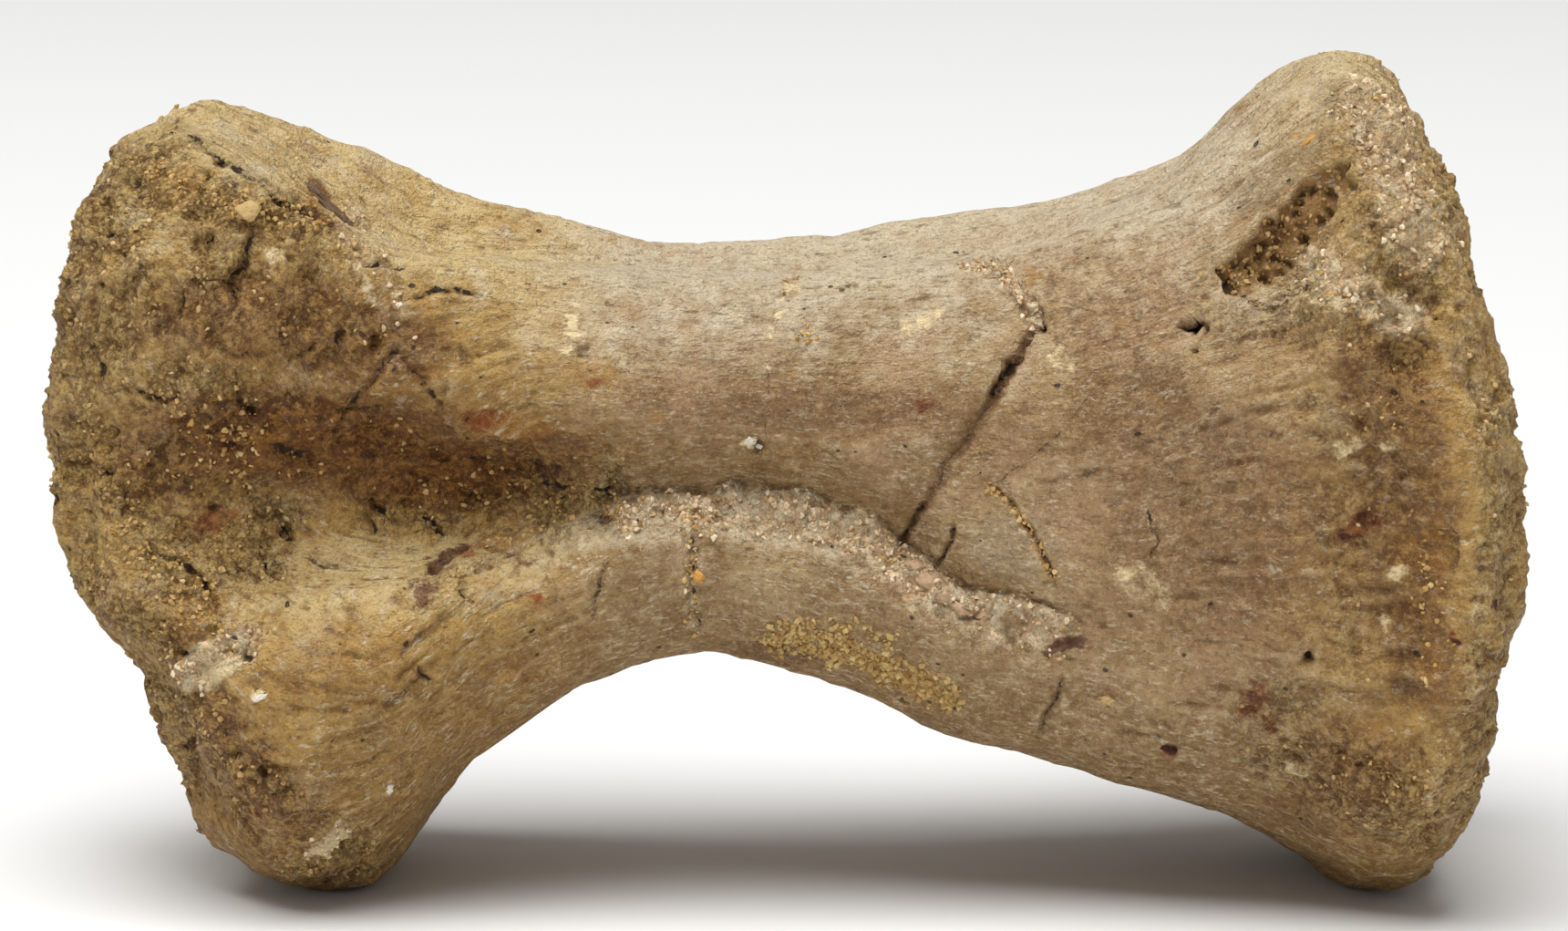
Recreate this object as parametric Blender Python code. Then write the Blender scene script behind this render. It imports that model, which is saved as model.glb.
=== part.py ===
# A fossil limb bone of a spinosaurid: one hourglass-shaped piece, lying as it rests.
# Frame: +X runs along the bone to its wide end, -Y is the face that shows, +Z is up.
# The origin is on the surface it rests on, below the middle of the bone.
# Lengths below are in millimetres, and MM turns them into Blender's metres.

import math

import bmesh
import bpy
import numpy as np
from mathutils import Matrix, Vector, noise

MM = 0.001

# The bone's outline seen from the front, as four smooth lines of (x, z).
KNOBBLY_END = [(-33.4, 0.4), (-36.4, 2.4), (-38.8, 5.2), (-40.0, 9.0), (-40.4, 12.5), (-40.7, 15.4),
               (-42.6, 18.0), (-46.6, 20.6), (-48.2, 23.2), (-48.0, 27.0), (-47.6, 32.5), (-46.2, 37.2),
               (-45.9, 41.0), (-45.4, 44.6), (-43.8, 47.8), (-40.8, 49.8)]
WIDE_END = [(42.0, 0.6), (44.2, 3.8), (45.4, 8.6), (46.0, 13.2), (46.9, 19.0), (47.6, 24.5), (47.5, 29.5),
            (46.8, 35.0), (45.2, 40.0), (43.9, 45.0), (42.7, 49.2), (40.9, 52.0), (38.4, 53.7)]
UPPER_LINE = [(-40.8, 49.8), (-37.0, 50.2), (-33.6, 48.4), (-29.6, 45.8), (-24.0, 43.8), (-18.0, 43.0),
              (-10.0, 42.4), (-1.0, 42.0), (7.0, 42.4), (13.4, 43.0), (19.4, 45.0), (23.0, 46.4),
              (25.8, 47.9), (29.4, 50.9), (32.4, 53.4), (35.4, 54.7), (38.4, 53.7)]
UNDER_LINE = [(-33.4, 0.4), (-30.0, 0.0), (-26.8, 0.2), (-24.0, 3.4), (-20.8, 7.6), (-17.2, 11.0),
              (-12.4, 14.2), (-5.6, 16.9), (-0.4, 15.7), (5.0, 13.5), (11.4, 10.3), (18.0, 8.2),
              (25.0, 6.3), (30.2, 4.0), (34.0, 1.2), (36.4, -0.3), (39.0, -0.4), (42.0, 0.6)]

# Half depths along the bone, from the knobbly end (0) to the wide end (1): share, front, rear.
HALF_DEPTHS = [(0.00, 10.5, 9.5), (0.03, 13.8, 12.2), (0.09, 16.2, 14.2), (0.18, 16.4, 14.0),
               (0.30, 14.6, 12.4), (0.45, 13.4, 11.4), (0.58, 14.0, 12.2), (0.70, 16.2, 14.6),
               (0.82, 19.4, 18.0), (0.91, 21.6, 20.2), (0.965, 21.4, 20.0), (1.00, 17.6, 16.6)]
# How square the sections are (2 is an oval): share, upper half, lower half.
SQUARENESS = [(0.0, 2.5, 2.7), (0.2, 2.5, 3.2), (0.45, 2.4, 3.8), (0.7, 2.3, 3.2), (0.9, 2.3, 2.3),
              (1.0, 2.2, 2.2)]

# The fine form before it is thinned to its facets.
RINGS = 170
POINTS_AROUND = 132
SMOOTHINGS = 3
FACE_RINGS = (0.94, 0.86, 0.76, 0.64, 0.5, 0.35, 0.18)
MOST_FACETS = 9600

# End faces: how far the middle stands out of the rim (negative is a dish).
KNOBBLY_FACE_BULGE = 0.8
WIDE_FACE_BULGE = -2.4

# Grooves and ridges that follow a line on the front: x, z, reach above it, reach below it, height.
HOLLOW_AND_CREASE = [(-50.0, 26.0, 11.0, 4.0, -1.2), (-44.0, 26.0, 11.5, 4.0, -2.8),
                     (-36.0, 25.6, 11.0, 4.6, -5.2), (-27.0, 25.8, 10.0, 4.2, -6.6),
                     (-19.0, 26.2, 7.6, 3.0, -6.0), (-13.0, 26.6, 4.6, 1.4, -4.0),
                     (-8.0, 26.9, 3.4, 0.9, -2.6), (-1.0, 26.6, 3.2, 0.8, -2.2),
                     (4.5, 25.0, 2.8, 0.8, -1.9), (9.0, 21.8, 2.2, 0.8, -1.5),
                     (15.0, 18.9, 2.0, 0.8, -0.9), (20.5, 17.8, 2.0, 1.0, 0.0)]
LOWER_RIDGE = [(-42.0, 12.0, 3.0, 4.0, 0.0), (-36.0, 14.0, 3.6, 5.0, 0.9), (-28.0, 16.6, 3.6, 5.0, 1.3),
               (-20.0, 20.0, 3.2, 5.0, 1.3), (-12.0, 22.6, 2.6, 6.0, 1.2), (-3.0, 23.4, 2.6, 6.5, 1.3),
               (5.0, 21.4, 2.6, 6.5, 1.2), (12.0, 17.4, 2.4, 5.0, 0.9), (20.0, 15.4, 2.4, 3.4, 0.0)]
LOBE_EDGE = [(-41.0, 20.0, 1.4, 1.4, 0.0), (-38.5, 17.4, 1.6, 1.6, 0.6), (-36.0, 13.0, 1.7, 1.7, 0.9),
             (-33.8, 9.8, 1.7, 1.7, 0.9), (-30.4, 6.4, 1.6, 1.6, 0.6), (-27.6, 4.4, 1.5, 1.5, 0.0)]
FRONT_CREST = [(-41.0, 50.0, 1.6, 2.2, 0.5), (-34.0, 46.6, 1.6, 2.4, 1.5), (-28.0, 43.0, 1.5, 2.4, 1.5),
               (-22.0, 41.6, 1.6, 2.6, 0.6), (-15.0, 40.8, 1.6, 3.0, 0.0)]
WIDE_END_CREST = [(36.0, 54.5, 2.2, 2.2, 0.3), (37.4, 48.6, 2.2, 2.2, 0.9), (36.8, 45.0, 2.2, 2.2, 1.2),
                  (34.6, 40.8, 2.2, 2.2, 1.4), (36.2, 36.4, 2.0, 2.0, 1.0), (40.4, 31.0, 1.8, 1.8, 0.5),
                  (43.6, 24.0, 1.6, 1.6, 0.5), (43.8, 16.0, 1.6, 1.6, 0.5), (42.6, 8.0, 1.8, 1.8, 0.3)]
SPONGY_PIT = [(27.4, 41.6, 1.2, 1.2, -0.8), (29.8, 42.8, 1.5, 1.5, -1.9), (32.4, 44.9, 1.6, 1.6, -2.0),
              (34.4, 47.2, 1.3, 1.3, -1.5), (35.6, 49.2, 1.0, 1.0, -0.4)]
BREAK = [(16.1, 39.1, 0.5, 0.5, -0.5), (14.5, 35.7, 0.6, 0.6, -0.9), (12.5, 32.6, 0.6, 0.6, -0.9),
         (10.3, 29.4, 0.6, 0.6, -0.7), (8.8, 26.9, 0.6, 0.6, -0.7), (7.6, 24.5, 0.9, 0.9, -1.0)]
FRONT_LINES = (HOLLOW_AND_CREASE, LOWER_RIDGE, LOBE_EDGE, FRONT_CREST, WIDE_END_CREST, SPONGY_PIT, BREAK)

# Broad swellings and dents on the front: x, z, half width, half height, turn in degrees, height.
FRONT_SPOTS = [(-38.0, 42.5, 8.0, 5.4, 20, 1.6), (-31.0, 11.0, 6.0, 8.0, -20, 0.8),
               (2.0, 34.5, 20.0, 4.4, 0, 0.9), (37.6, 26.0, 4.6, 11.0, 0, -1.9),
               (14.0, 20.8, 4.4, 3.0, 60, 0.4), (26.0, 30.0, 8.0, 9.0, 0, 0.5),
               (-24.0, 36.5, 3.0, 3.0, 0, 0.7), (-16.5, 33.0, 5.0, 3.0, 10, 0.8),
               (-39.0, 7.5, 3.4, 7.0, -30, -1.0)]

# The rear has its own, softer hollow, a low muscle ridge and a dent before the rim.
REAR_LINES = ([(-50.0, 27.0, 8.0, 7.0, -0.8), (-40.0, 27.0, 9.0, 7.0, -2.6), (-28.0, 27.4, 8.0, 6.0, -3.6),
               (-16.0, 28.0, 6.0, 4.5, -2.0), (-4.0, 28.4, 5.0, 4.0, 0.0)],
              [(-22.0, 36.0, 2.4, 2.4, 0.0), (-8.0, 34.0, 2.4, 2.4, 1.0), (8.0, 31.0, 2.4, 2.6, 1.3),
               (20.0, 29.0, 3.0, 3.0, 0.0)])
REAR_SPOTS = [(36.0, 28.0, 5.0, 13.0, 0, -1.6), (-37.0, 12.0, 7.0, 7.0, 0, 1.0),
              (-37.0, 40.0, 7.0, 6.0, 0, 0.8)]

# Across the top: the trough behind the front crest, and the higher rear crest: x, y, reach, height.
TOP_TROUGH = [(-40.0, 1.0, 5.0, -0.4), (-32.0, 0.0, 5.0, -1.6), (-20.0, 0.0, 4.6, -2.4),
              (-8.0, 0.0, 4.2, -2.4), (8.0, 0.0, 4.4, -2.2), (20.0, 0.0, 5.0, -1.4),
              (30.0, 3.0, 6.0, 0.0)]
REAR_CREST = [(-42.0, 7.0, 5.0, 0.8), (-37.0, 7.0, 4.6, 2.4), (-33.0, 7.1, 4.5, 3.7),
              (-28.0, 7.2, 4.4, 3.8), (-21.6, 7.2, 4.2, 2.3), (-15.6, 7.0, 4.0, 1.5),
              (-9.6, 7.0, 4.0, 0.1), (-1.0, 7.0, 4.0, 0.3), (4.0, 7.1, 4.1, 0.7), (8.4, 7.2, 4.2, 1.4),
              (14.4, 7.6, 4.6, 1.2), (20.4, 8.0, 5.0, 0.8), (27.0, 8.0, 5.0, 0.0)]

# The worn saddle between the two knuckles, across the knobbly end face: z, half height, depth.
SADDLE = (25.5, 5.0, 1.8)

# Uneven lumps all over: size, height, and how much stronger they are on the ends.
LUMPS = [(11.0, 0.55, 1.4), (4.6, 0.26, 2.2), (2.1, 0.12, 2.6)]

# How much of the lowest points is worn away flat, and the block that trims them.
WORN_OFF = 0.5
CUTTER_SIZE = (140.0, 90.0, 20.0)


def hermite(knots, values, at):
    """Smooth values at any places between the knots, through every knot."""
    knots = np.asarray(knots, float)
    values = np.asarray(values, float).reshape(len(knots), -1)
    at = np.clip(np.asarray(at, float), knots[0], knots[-1])
    slopes = np.gradient(values, knots, axis=0)
    i = np.clip(np.searchsorted(knots, at, side="right") - 1, 0, len(knots) - 2)
    width = (knots[i + 1] - knots[i])[..., None]
    u = (at - knots[i])[..., None] / width
    return ((2 * u**3 - 3 * u**2 + 1) * values[i] + (u**3 - 2 * u**2 + u) * width * slopes[i]
            + (3 * u**2 - 2 * u**3) * values[i + 1] + (u**3 - u**2) * width * slopes[i + 1])


def along(points, share):
    """Points at shares (0 to 1) of the length of a smooth line through the given points."""
    points = np.asarray(points, float)
    steps = np.linalg.norm(np.diff(points, axis=0), axis=1)
    places = np.concatenate([[0.0], np.cumsum(steps)]) / steps.sum()
    return hermite(places, points, share)


def outline_net(s, t):
    """The place (x, z) in the front outline at s, from end to end, and t, from under side to top."""
    s, t = np.broadcast_arrays(s, t)
    left, right = along(KNOBBLY_END, t), along(WIDE_END, t)
    under, upper = along(UNDER_LINE, s), along(UPPER_LINE, s)
    s, t = s[..., None], t[..., None]
    corners = ((1 - s) * (1 - t) * np.array(UNDER_LINE[0]) + s * (1 - t) * np.array(UNDER_LINE[-1])
               + (1 - s) * t * np.array(UPPER_LINE[0]) + s * t * np.array(UPPER_LINE[-1]))
    return (1 - s) * left + s * right + (1 - t) * under + t * upper - corners


def base_rings():
    """Rings of points (ring, point, xyz) round the bone, from one rim to the other."""
    # Closer rings near the rims, where the form turns into the end faces.
    even = np.linspace(0.0, 1.0, RINGS)
    shares = 0.55 * even + 0.45 * (0.5 - 0.5 * np.cos(math.pi * even))
    turn = np.linspace(0.0, 2 * math.pi, POINTS_AROUND, endpoint=False)
    depths = hermite([row[0] for row in HALF_DEPTHS], [row[1:] for row in HALF_DEPTHS], shares)
    square = hermite([row[0] for row in SQUARENESS], [row[1:] for row in SQUARENESS], shares)
    up, out = np.sin(turn)[None, :], np.cos(turn)[None, :]
    power = 2 / np.where(up > 0, square[:, :1], square[:, 1:])
    height = 0.5 + 0.5 * np.sign(up) * np.abs(up) ** power
    depth = np.sign(out) * np.abs(out) ** power
    place = outline_net(shares[:, None], height)
    y = np.where(depth > 0, -depths[:, :1] * depth, -depths[:, 1:] * depth)
    return np.stack([place[..., 0], y, place[..., 1]], axis=-1)


def face_rings(rim, outline, bulge, outward):
    """The rings and the middle point of an end face inside its rim, which follows the outline's curve."""
    middle = rim.mean(axis=0)
    edge = along(outline, np.linspace(0.0, 1.0, 200))
    rings = []
    for share in FACE_RINGS + (0.0,):
        ring = middle + share * (rim - middle)
        ring[:, 0] = np.interp(ring[:, 2], edge[:, 1], edge[:, 0]) + outward * bulge * (1 - share**2)
        rings.append(ring)
    return rings[:-1], rings[-1][0]


def build_mesh(name):
    """One closed mesh of quads, with a fan of triangles in the middle of each end face."""
    body = base_rings()
    first, first_tip = face_rings(body[0], KNOBBLY_END, KNOBBLY_FACE_BULGE, -1.0)
    last, last_tip = face_rings(body[-1], WIDE_END, WIDE_FACE_BULGE, 1.0)
    rings = first[::-1] + list(body) + last
    shape = bmesh.new()
    loops = [[shape.verts.new(Vector(point)) for point in ring] for ring in rings]
    for one, two in zip(loops, loops[1:]):
        for i in range(POINTS_AROUND):
            j = (i + 1) % POINTS_AROUND
            shape.faces.new((one[i], two[i], two[j], one[j]))
    for loop, tip in ((loops[0], first_tip), (loops[-1], last_tip)):
        centre = shape.verts.new(Vector(tip))
        for i in range(POINTS_AROUND):
            shape.faces.new((centre, loop[i], loop[(i + 1) % POINTS_AROUND]))
    bmesh.ops.recalc_face_normals(shape, faces=shape.faces)
    for _ in range(SMOOTHINGS):
        bmesh.ops.smooth_vert(shape, verts=shape.verts, factor=0.5,
                              use_axis_x=True, use_axis_y=True, use_axis_z=True)
    mesh = bpy.data.meshes.new(name)
    shape.to_mesh(mesh)
    shape.free()
    return mesh


def points_and_normals(mesh):
    points = np.empty(len(mesh.vertices) * 3)
    mesh.vertices.foreach_get("co", points)
    normals = np.empty(len(mesh.vertices) * 3)
    mesh.vertex_normals.foreach_get("vector", normals)
    return points.reshape(-1, 3), normals.reshape(-1, 3)


def push_out(mesh, amount):
    """Moves each vertex along its normal by its own amount."""
    points, normals = points_and_normals(mesh)
    points += normals * amount[:, None]
    mesh.vertices.foreach_set("co", points.ravel())
    mesh.update()


def line_relief(x, z, line):
    """The height of a groove or ridge that follows a line, with its own reach above and below."""
    line = np.asarray(line, float)
    fine = along(line, np.linspace(0.0, 1.0, 12 * len(line)))
    place = fine[:, :2]
    gaps = (x[:, None] - place[None, :, 0]) ** 2 + (z[:, None] - place[None, :, 1]) ** 2
    near = gaps.argmin(axis=1)
    here = fine[near]
    heading = np.gradient(place, axis=0)[near]
    heading /= np.linalg.norm(heading, axis=1, keepdims=True)
    offset_x, offset_z = x - here[:, 0], z - here[:, 1]
    side = heading[:, 0] * offset_z - heading[:, 1] * offset_x
    reach = np.where(side > 0, here[:, 2], here[:, 3])
    return here[:, 4] * np.exp(-(offset_x**2 + offset_z**2) / np.maximum(reach, 0.3) ** 2)


def spot_relief(x, z, spot):
    """The height of a broad oval swelling or dent."""
    spot_x, spot_z, wide, high, turn, height = spot
    turn = math.radians(turn)
    across = (x - spot_x) * math.cos(turn) + (z - spot_z) * math.sin(turn)
    up = (z - spot_z) * math.cos(turn) - (x - spot_x) * math.sin(turn)
    return height * np.exp(-((across / wide) ** 2) - (up / high) ** 2)


def smooth_step(value, low, high):
    share = np.clip((value - low) / (high - low), 0.0, 1.0)
    return share * share * (3 - 2 * share)


def carve_sides(mesh):
    """The relief of the front and of the rear, faded out where the form turns away."""
    points, normals = points_and_normals(mesh)
    x, z = points[:, 0], points[:, 2]
    front = sum(line_relief(x, z, line) for line in FRONT_LINES)
    front += sum(spot_relief(x, z, spot) for spot in FRONT_SPOTS)
    rear = sum(line_relief(x, z, line) for line in REAR_LINES)
    rear += sum(spot_relief(x, z, spot) for spot in REAR_SPOTS)
    facing = -normals[:, 1]
    push_out(mesh, front * smooth_step(facing, 0.05, 0.45) + rear * smooth_step(-facing, 0.05, 0.45))


def shape_top(mesh):
    """The trough along the top and the crest behind it, both raised or sunk straight up or down."""
    points, normals = points_and_normals(mesh)
    facing = smooth_step(normals[:, 2], 0.15, 0.6)
    for line in (np.asarray(TOP_TROUGH), np.asarray(REAR_CREST)):
        y, reach, height = hermite(line[:, 0], line[:, 1:], points[:, 0]).T
        points[:, 2] += height * facing * np.exp(-(((points[:, 1] - y) / reach) ** 2))
    mesh.vertices.foreach_set("co", points.ravel())
    mesh.update()


def carve_saddle(mesh):
    """The worn saddle between the two knuckles of the knobbly end."""
    points, normals = points_and_normals(mesh)
    middle, reach, depth = SADDLE
    amount = -depth * np.exp(-(((points[:, 2] - middle) / reach) ** 2))
    push_out(mesh, amount * smooth_step(-normals[:, 0], 0.4, 0.9))


def add_lumps(mesh):
    """Uneven lumps, coarser on the two ends than on the shaft."""
    points, _ = points_and_normals(mesh)
    ends = smooth_step(np.abs(points[:, 0]), 18.0, 40.0)
    amount = np.zeros(len(points))
    for number, (size, height, at_ends) in enumerate(LUMPS):
        place = points / size + 17.3 * (number + 1)
        bumps = np.array([noise.noise(Vector(p)) for p in place])
        amount += height * (1 + (at_ends - 1) * ends) * bumps
    push_out(mesh, amount)


def stand_over_origin(mesh):
    """Centres the bone over the origin, its lowest point as far below it as will be worn off."""
    points, _ = points_and_normals(mesh)
    low, high = points.min(axis=0), points.max(axis=0)
    middle = (low + high) / 2
    mesh.transform(Matrix.Translation((-middle[0], -middle[1], -low[2] - WORN_OFF)))


def bone_material():
    material = bpy.data.materials.new("fossil_bone")
    material.use_nodes = True
    shader = material.node_tree.nodes["Principled BSDF"]
    shader.inputs["Base Color"].default_value = (0.36, 0.25, 0.13, 1.0)
    shader.inputs["Roughness"].default_value = 0.75
    shader.inputs["Metallic"].default_value = 0.0
    return material


def ground_cutter():
    """A block below the resting plane. It wears the lowest points of the bone down to small flats."""
    shape = bmesh.new()
    bmesh.ops.create_cube(shape, size=1.0)
    bmesh.ops.scale(shape, vec=Vector(CUTTER_SIZE) * MM, verts=shape.verts)
    bmesh.ops.translate(shape, vec=Vector((0.0, 0.0, -CUTTER_SIZE[2] / 2)) * MM, verts=shape.verts)
    mesh = bpy.data.meshes.new("ground_cutter")
    shape.to_mesh(mesh)
    shape.free()
    cutter = bpy.data.objects.new("ground_cutter", mesh)
    bpy.context.scene.collection.objects.link(cutter)
    cutter.hide_render = True
    cutter.display_type = "WIRE"
    return cutter


def build_bone():
    """The whole bone as one object, thinned to its facets and trimmed flat where it rests."""
    mesh = build_mesh("bone")
    carve_sides(mesh)
    shape_top(mesh)
    carve_saddle(mesh)
    add_lumps(mesh)
    stand_over_origin(mesh)
    mesh.transform(Matrix.Scale(MM, 4))
    mesh.shade_smooth()
    mesh.materials.append(bone_material())
    bone = bpy.data.objects.new("bone", mesh)
    bpy.context.scene.collection.objects.link(bone)
    mesh.calc_loop_triangles()
    thin = bone.modifiers.new("facets", "DECIMATE")
    thin.ratio = MOST_FACETS / len(mesh.loop_triangles)
    trim = bone.modifiers.new("worn_flats", "BOOLEAN")
    trim.operation = "DIFFERENCE"
    trim.object = ground_cutter()
    return bone


def main():
    for old in list(bpy.data.objects):
        bpy.data.objects.remove(old)
    build_bone()


main()
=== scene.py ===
import math

import bmesh
import bpy
import numpy as np
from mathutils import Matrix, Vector, kdtree, noise


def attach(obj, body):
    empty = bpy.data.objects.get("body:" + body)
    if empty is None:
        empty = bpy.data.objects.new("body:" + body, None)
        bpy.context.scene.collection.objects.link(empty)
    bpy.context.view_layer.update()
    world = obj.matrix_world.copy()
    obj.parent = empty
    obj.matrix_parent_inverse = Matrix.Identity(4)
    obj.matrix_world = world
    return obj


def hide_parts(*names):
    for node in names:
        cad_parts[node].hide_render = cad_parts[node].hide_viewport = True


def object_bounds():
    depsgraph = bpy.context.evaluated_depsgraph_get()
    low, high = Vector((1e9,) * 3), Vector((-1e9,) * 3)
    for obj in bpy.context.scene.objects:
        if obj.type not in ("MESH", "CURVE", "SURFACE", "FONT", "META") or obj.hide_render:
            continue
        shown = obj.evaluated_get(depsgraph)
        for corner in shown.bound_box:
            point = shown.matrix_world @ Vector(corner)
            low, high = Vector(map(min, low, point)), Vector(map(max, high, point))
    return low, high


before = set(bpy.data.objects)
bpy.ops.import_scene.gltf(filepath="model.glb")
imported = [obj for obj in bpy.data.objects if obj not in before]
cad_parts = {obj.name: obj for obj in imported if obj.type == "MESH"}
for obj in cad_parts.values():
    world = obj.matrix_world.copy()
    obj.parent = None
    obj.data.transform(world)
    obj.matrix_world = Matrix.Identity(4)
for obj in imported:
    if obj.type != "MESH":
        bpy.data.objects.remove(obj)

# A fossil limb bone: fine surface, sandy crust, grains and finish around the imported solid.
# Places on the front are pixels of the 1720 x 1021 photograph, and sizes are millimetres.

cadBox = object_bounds()
mm = 0.001
print("frame loaded")

viewValues = {
    "photo": (1720, 1021),
    "target": (0.305, 0.608, 27.53),   # what the middle of the photograph looks at
    "distance": 420.0,
    "elevation": 10.0,                 # degrees above level
    "width": 103.2,                    # how much the picture spans at the target
    "sensor": 36.0,
}


def softStep(value, low, high):
    share = np.clip((value - low) / (high - low), 0.0, 1.0)
    return share * share * (3 - 2 * share)


def viewAxes():
    tilt = math.radians(viewValues["elevation"])
    back = Vector((0.0, -math.cos(tilt), math.sin(tilt)))
    up = Vector((0.0, math.sin(tilt), math.cos(tilt)))
    return back, up


def photoPlace(points):
    # Where points in millimetres fall in the photograph, in its pixels.
    back, up = viewAxes()
    across, down = viewValues["photo"]
    offset = points - np.array(viewValues["target"])
    depth = viewValues["distance"] - offset @ np.array(back)
    scale = viewValues["distance"] / depth * across / viewValues["width"]
    return np.stack([across / 2 + offset[:, 0] * scale, down / 2 - (offset @ np.array(up)) * scale], axis=1)


def noiseAt(points, size, seed, octaves=1):
    # Soft noise from about -1 to 1, with forms of the given size.
    spots = (points / size + np.array([13.7, -7.9, 5.3]) * seed).tolist()
    if octaves == 1:
        return np.array([noise.noise(spot) for spot in spots])
    return np.array([noise.fractal(spot, 1.0, 2.0, octaves) for spot in spots])


def noiseVectors(points, size, seed, octaves=1):
    return np.stack([noiseAt(points, size, seed + i, octaves) for i in range(3)], axis=1)


def cellsAt(points, size, seed):
    # Distance to the nearest and to the next cell point, in shares of the cell size, and the cell's chance.
    spots = (points / size + np.array([3.1, 9.7, -4.3]) * seed).tolist()
    found = [noise.voronoi(spot) for spot in spots]
    rows = [(gaps[0], gaps[1], noise.cell(centres[0] * 7.0)) for gaps, centres in found]
    return np.array(rows).T


# The fine surface

skinValues = {
    "voxel": 0.2,
    "quickVoxel": 0.34,
    "smoothings": 34,            # passes that take the solid's facets away
    "mostTriangles": 194000,
    "rearTriangles": 60000,      # what the side away from the camera is thinned to first
    "rearFacing": 0.05,          # below this, a point counts as that side
    "spare": 0.25,               # how far the surface may leave the solid's box
    "wander": [(1.3, 5.0), (0.5, 2.4)],   # ragged edges: size, and how far they stray in pixels
    "facing": (0.06, 0.38),      # where the picture starts to show, and shows fully
    "faceRough": (1.0, 0.6),     # roughness of the left and right end faces
    "fibreRadius": 14.0,         # radius at which the fibres keep their true width
    "fibreRim": 0.75,            # within this share of the half width, an end face's fibres draw together
    "fibreReach": 40.0,          # the fibres follow sections from here on the left to here on the right,
    "fibreStep": 2.0,            # this far apart
    "fibreLength": 5.0,
    "fibreWidth": 0.55,
    "strands": (0.07, 0.22, 0.7),         # depth, more depth towards the ends, share lost where rough
    "furrows": 0.55,
    "lumps": [(5.0, 0.16, 0.22), (1.9, 0.07, 0.32), (0.8, 0.035, 0.2)],   # size, height on smooth, on rough
    "lipLumps": [(0.9, 91, 2, 0.34), (2.4, 92, 1, 0.3)],                  # size, seed, octaves, height
    "crumbs": [(1.7, 0.28), (0.75, 0.24)],                                # size, height
    "flakes": {"size": 3.6, "drawnOut": (2.2, 1.0, 1.0), "height": 0.11, "roughHeight": 0.42, "edge": 0.12},
    "relief": [(8, 2.6), (60, 1.1)],      # for the dust and for the painted shade, with some dirt, in low places: passes of blurring, strength
    "skyBlur": 10,
}


def readMesh(mesh):
    count = len(mesh.vertices)
    points, normals = np.empty(count * 3), np.empty(count * 3)
    mesh.vertices.foreach_get("co", points)
    mesh.vertex_normals.foreach_get("vector", normals)
    return points.reshape(-1, 3) / mm, normals.reshape(-1, 3)


def writePoints(mesh, points):
    mesh.vertices.foreach_set("co", (points * mm).ravel())
    mesh.update()


def addObject(name, data):
    thing = bpy.data.objects.new(name, data)
    bpy.context.scene.collection.objects.link(thing)
    return thing


def meshLinks(mesh):
    links = np.empty(len(mesh.edges) * 2, dtype=np.int32)
    mesh.edges.foreach_get("vertices", links)
    return links.reshape(-1, 2)


def blurred(values, links, passes):
    # Values evened out over the mesh, each point with its neighbours.
    count = len(values)
    number = np.bincount(links.ravel(), minlength=count)
    for _ in range(passes):
        total = np.bincount(links[:, 0], weights=values[links[:, 1]], minlength=count)
        total += np.bincount(links[:, 1], weights=values[links[:, 0]], minlength=count)
        values = 0.5 * values + 0.5 * total / np.maximum(number, 1)
    return values


def denseSkin():
    # A copy of the solid, remeshed finely, with its facets smoothed away.
    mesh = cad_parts["bone"].data.copy()
    mesh.materials.clear()
    skin = addObject("denseSkin", mesh)
    weld = skin.modifiers.new("weld", "WELD")
    weld.merge_threshold = 0.00001
    remesh = skin.modifiers.new("remesh", "REMESH")
    remesh.mode = "VOXEL"
    remesh.voxel_size = skinValues["voxel"] * mm
    smooth = skin.modifiers.new("smooth", "SMOOTH")
    smooth.iterations = skinValues["smoothings"]
    smooth.factor = 0.5
    return bakedMesh(skin)


def bakedMesh(thing):
    # The evaluated mesh of a thing, which is then removed.
    bpy.context.view_layer.update()
    evaluated = thing.evaluated_get(bpy.context.evaluated_depsgraph_get())
    mesh = bpy.data.meshes.new_from_object(evaluated)
    bpy.data.objects.remove(thing)
    return mesh


def fibrePlace(points):
    # Coordinates that follow the fibres: along the bone, and round it, fanning out with the flared ends.
    reach, step = skinValues["fibreReach"], skinValues["fibreStep"]
    count = round(2 * reach / step) + 1
    bins = np.linspace(-reach, reach, count)
    which = np.clip(np.round((points[:, 0] + reach) / step).astype(int), 0, count - 1)
    turned = []
    for axis in (1, 2):
        low = np.array([points[which == i, axis].min() for i in range(count)])
        high = np.array([points[which == i, axis].max() for i in range(count)])
        middle = np.interp(points[:, 0], bins, (low + high) / 2)
        half = np.interp(points[:, 0], bins, (high - low) / 2)
        turned.append((points[:, axis] - middle) / half)
    angle = np.arctan2(turned[1], turned[0])
    radius = skinValues["fibreRadius"] * np.minimum(np.hypot(*turned) / skinValues["fibreRim"], 1.0)
    return np.stack([points[:, 0], radius * np.cos(angle), radius * np.sin(angle)], axis=1)


def sideOf(points, normals, rear=False):
    # Where points fall in the photograph, with and without a ragged edge, and how far they face it.
    # The rear is laid out on the same picture, seen through the bone.
    flip = np.array([1.0, -1.0, 1.0]) if rear else np.ones(3)
    back, _ = viewAxes()
    wander = 0.0
    for i, (size, stray) in enumerate(skinValues["wander"]):
        pushes = [noiseAt(points, size, seed) for seed in (2 * i + 1, 2 * i + 2)]
        wander = wander + np.stack(pushes, axis=1) * stray
    place = photoPlace(points * flip)
    facing = softStep((normals * flip) @ np.array(back), *skinValues["facing"])
    return {"place": place, "ragged": place + wander, "facing": facing}


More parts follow.
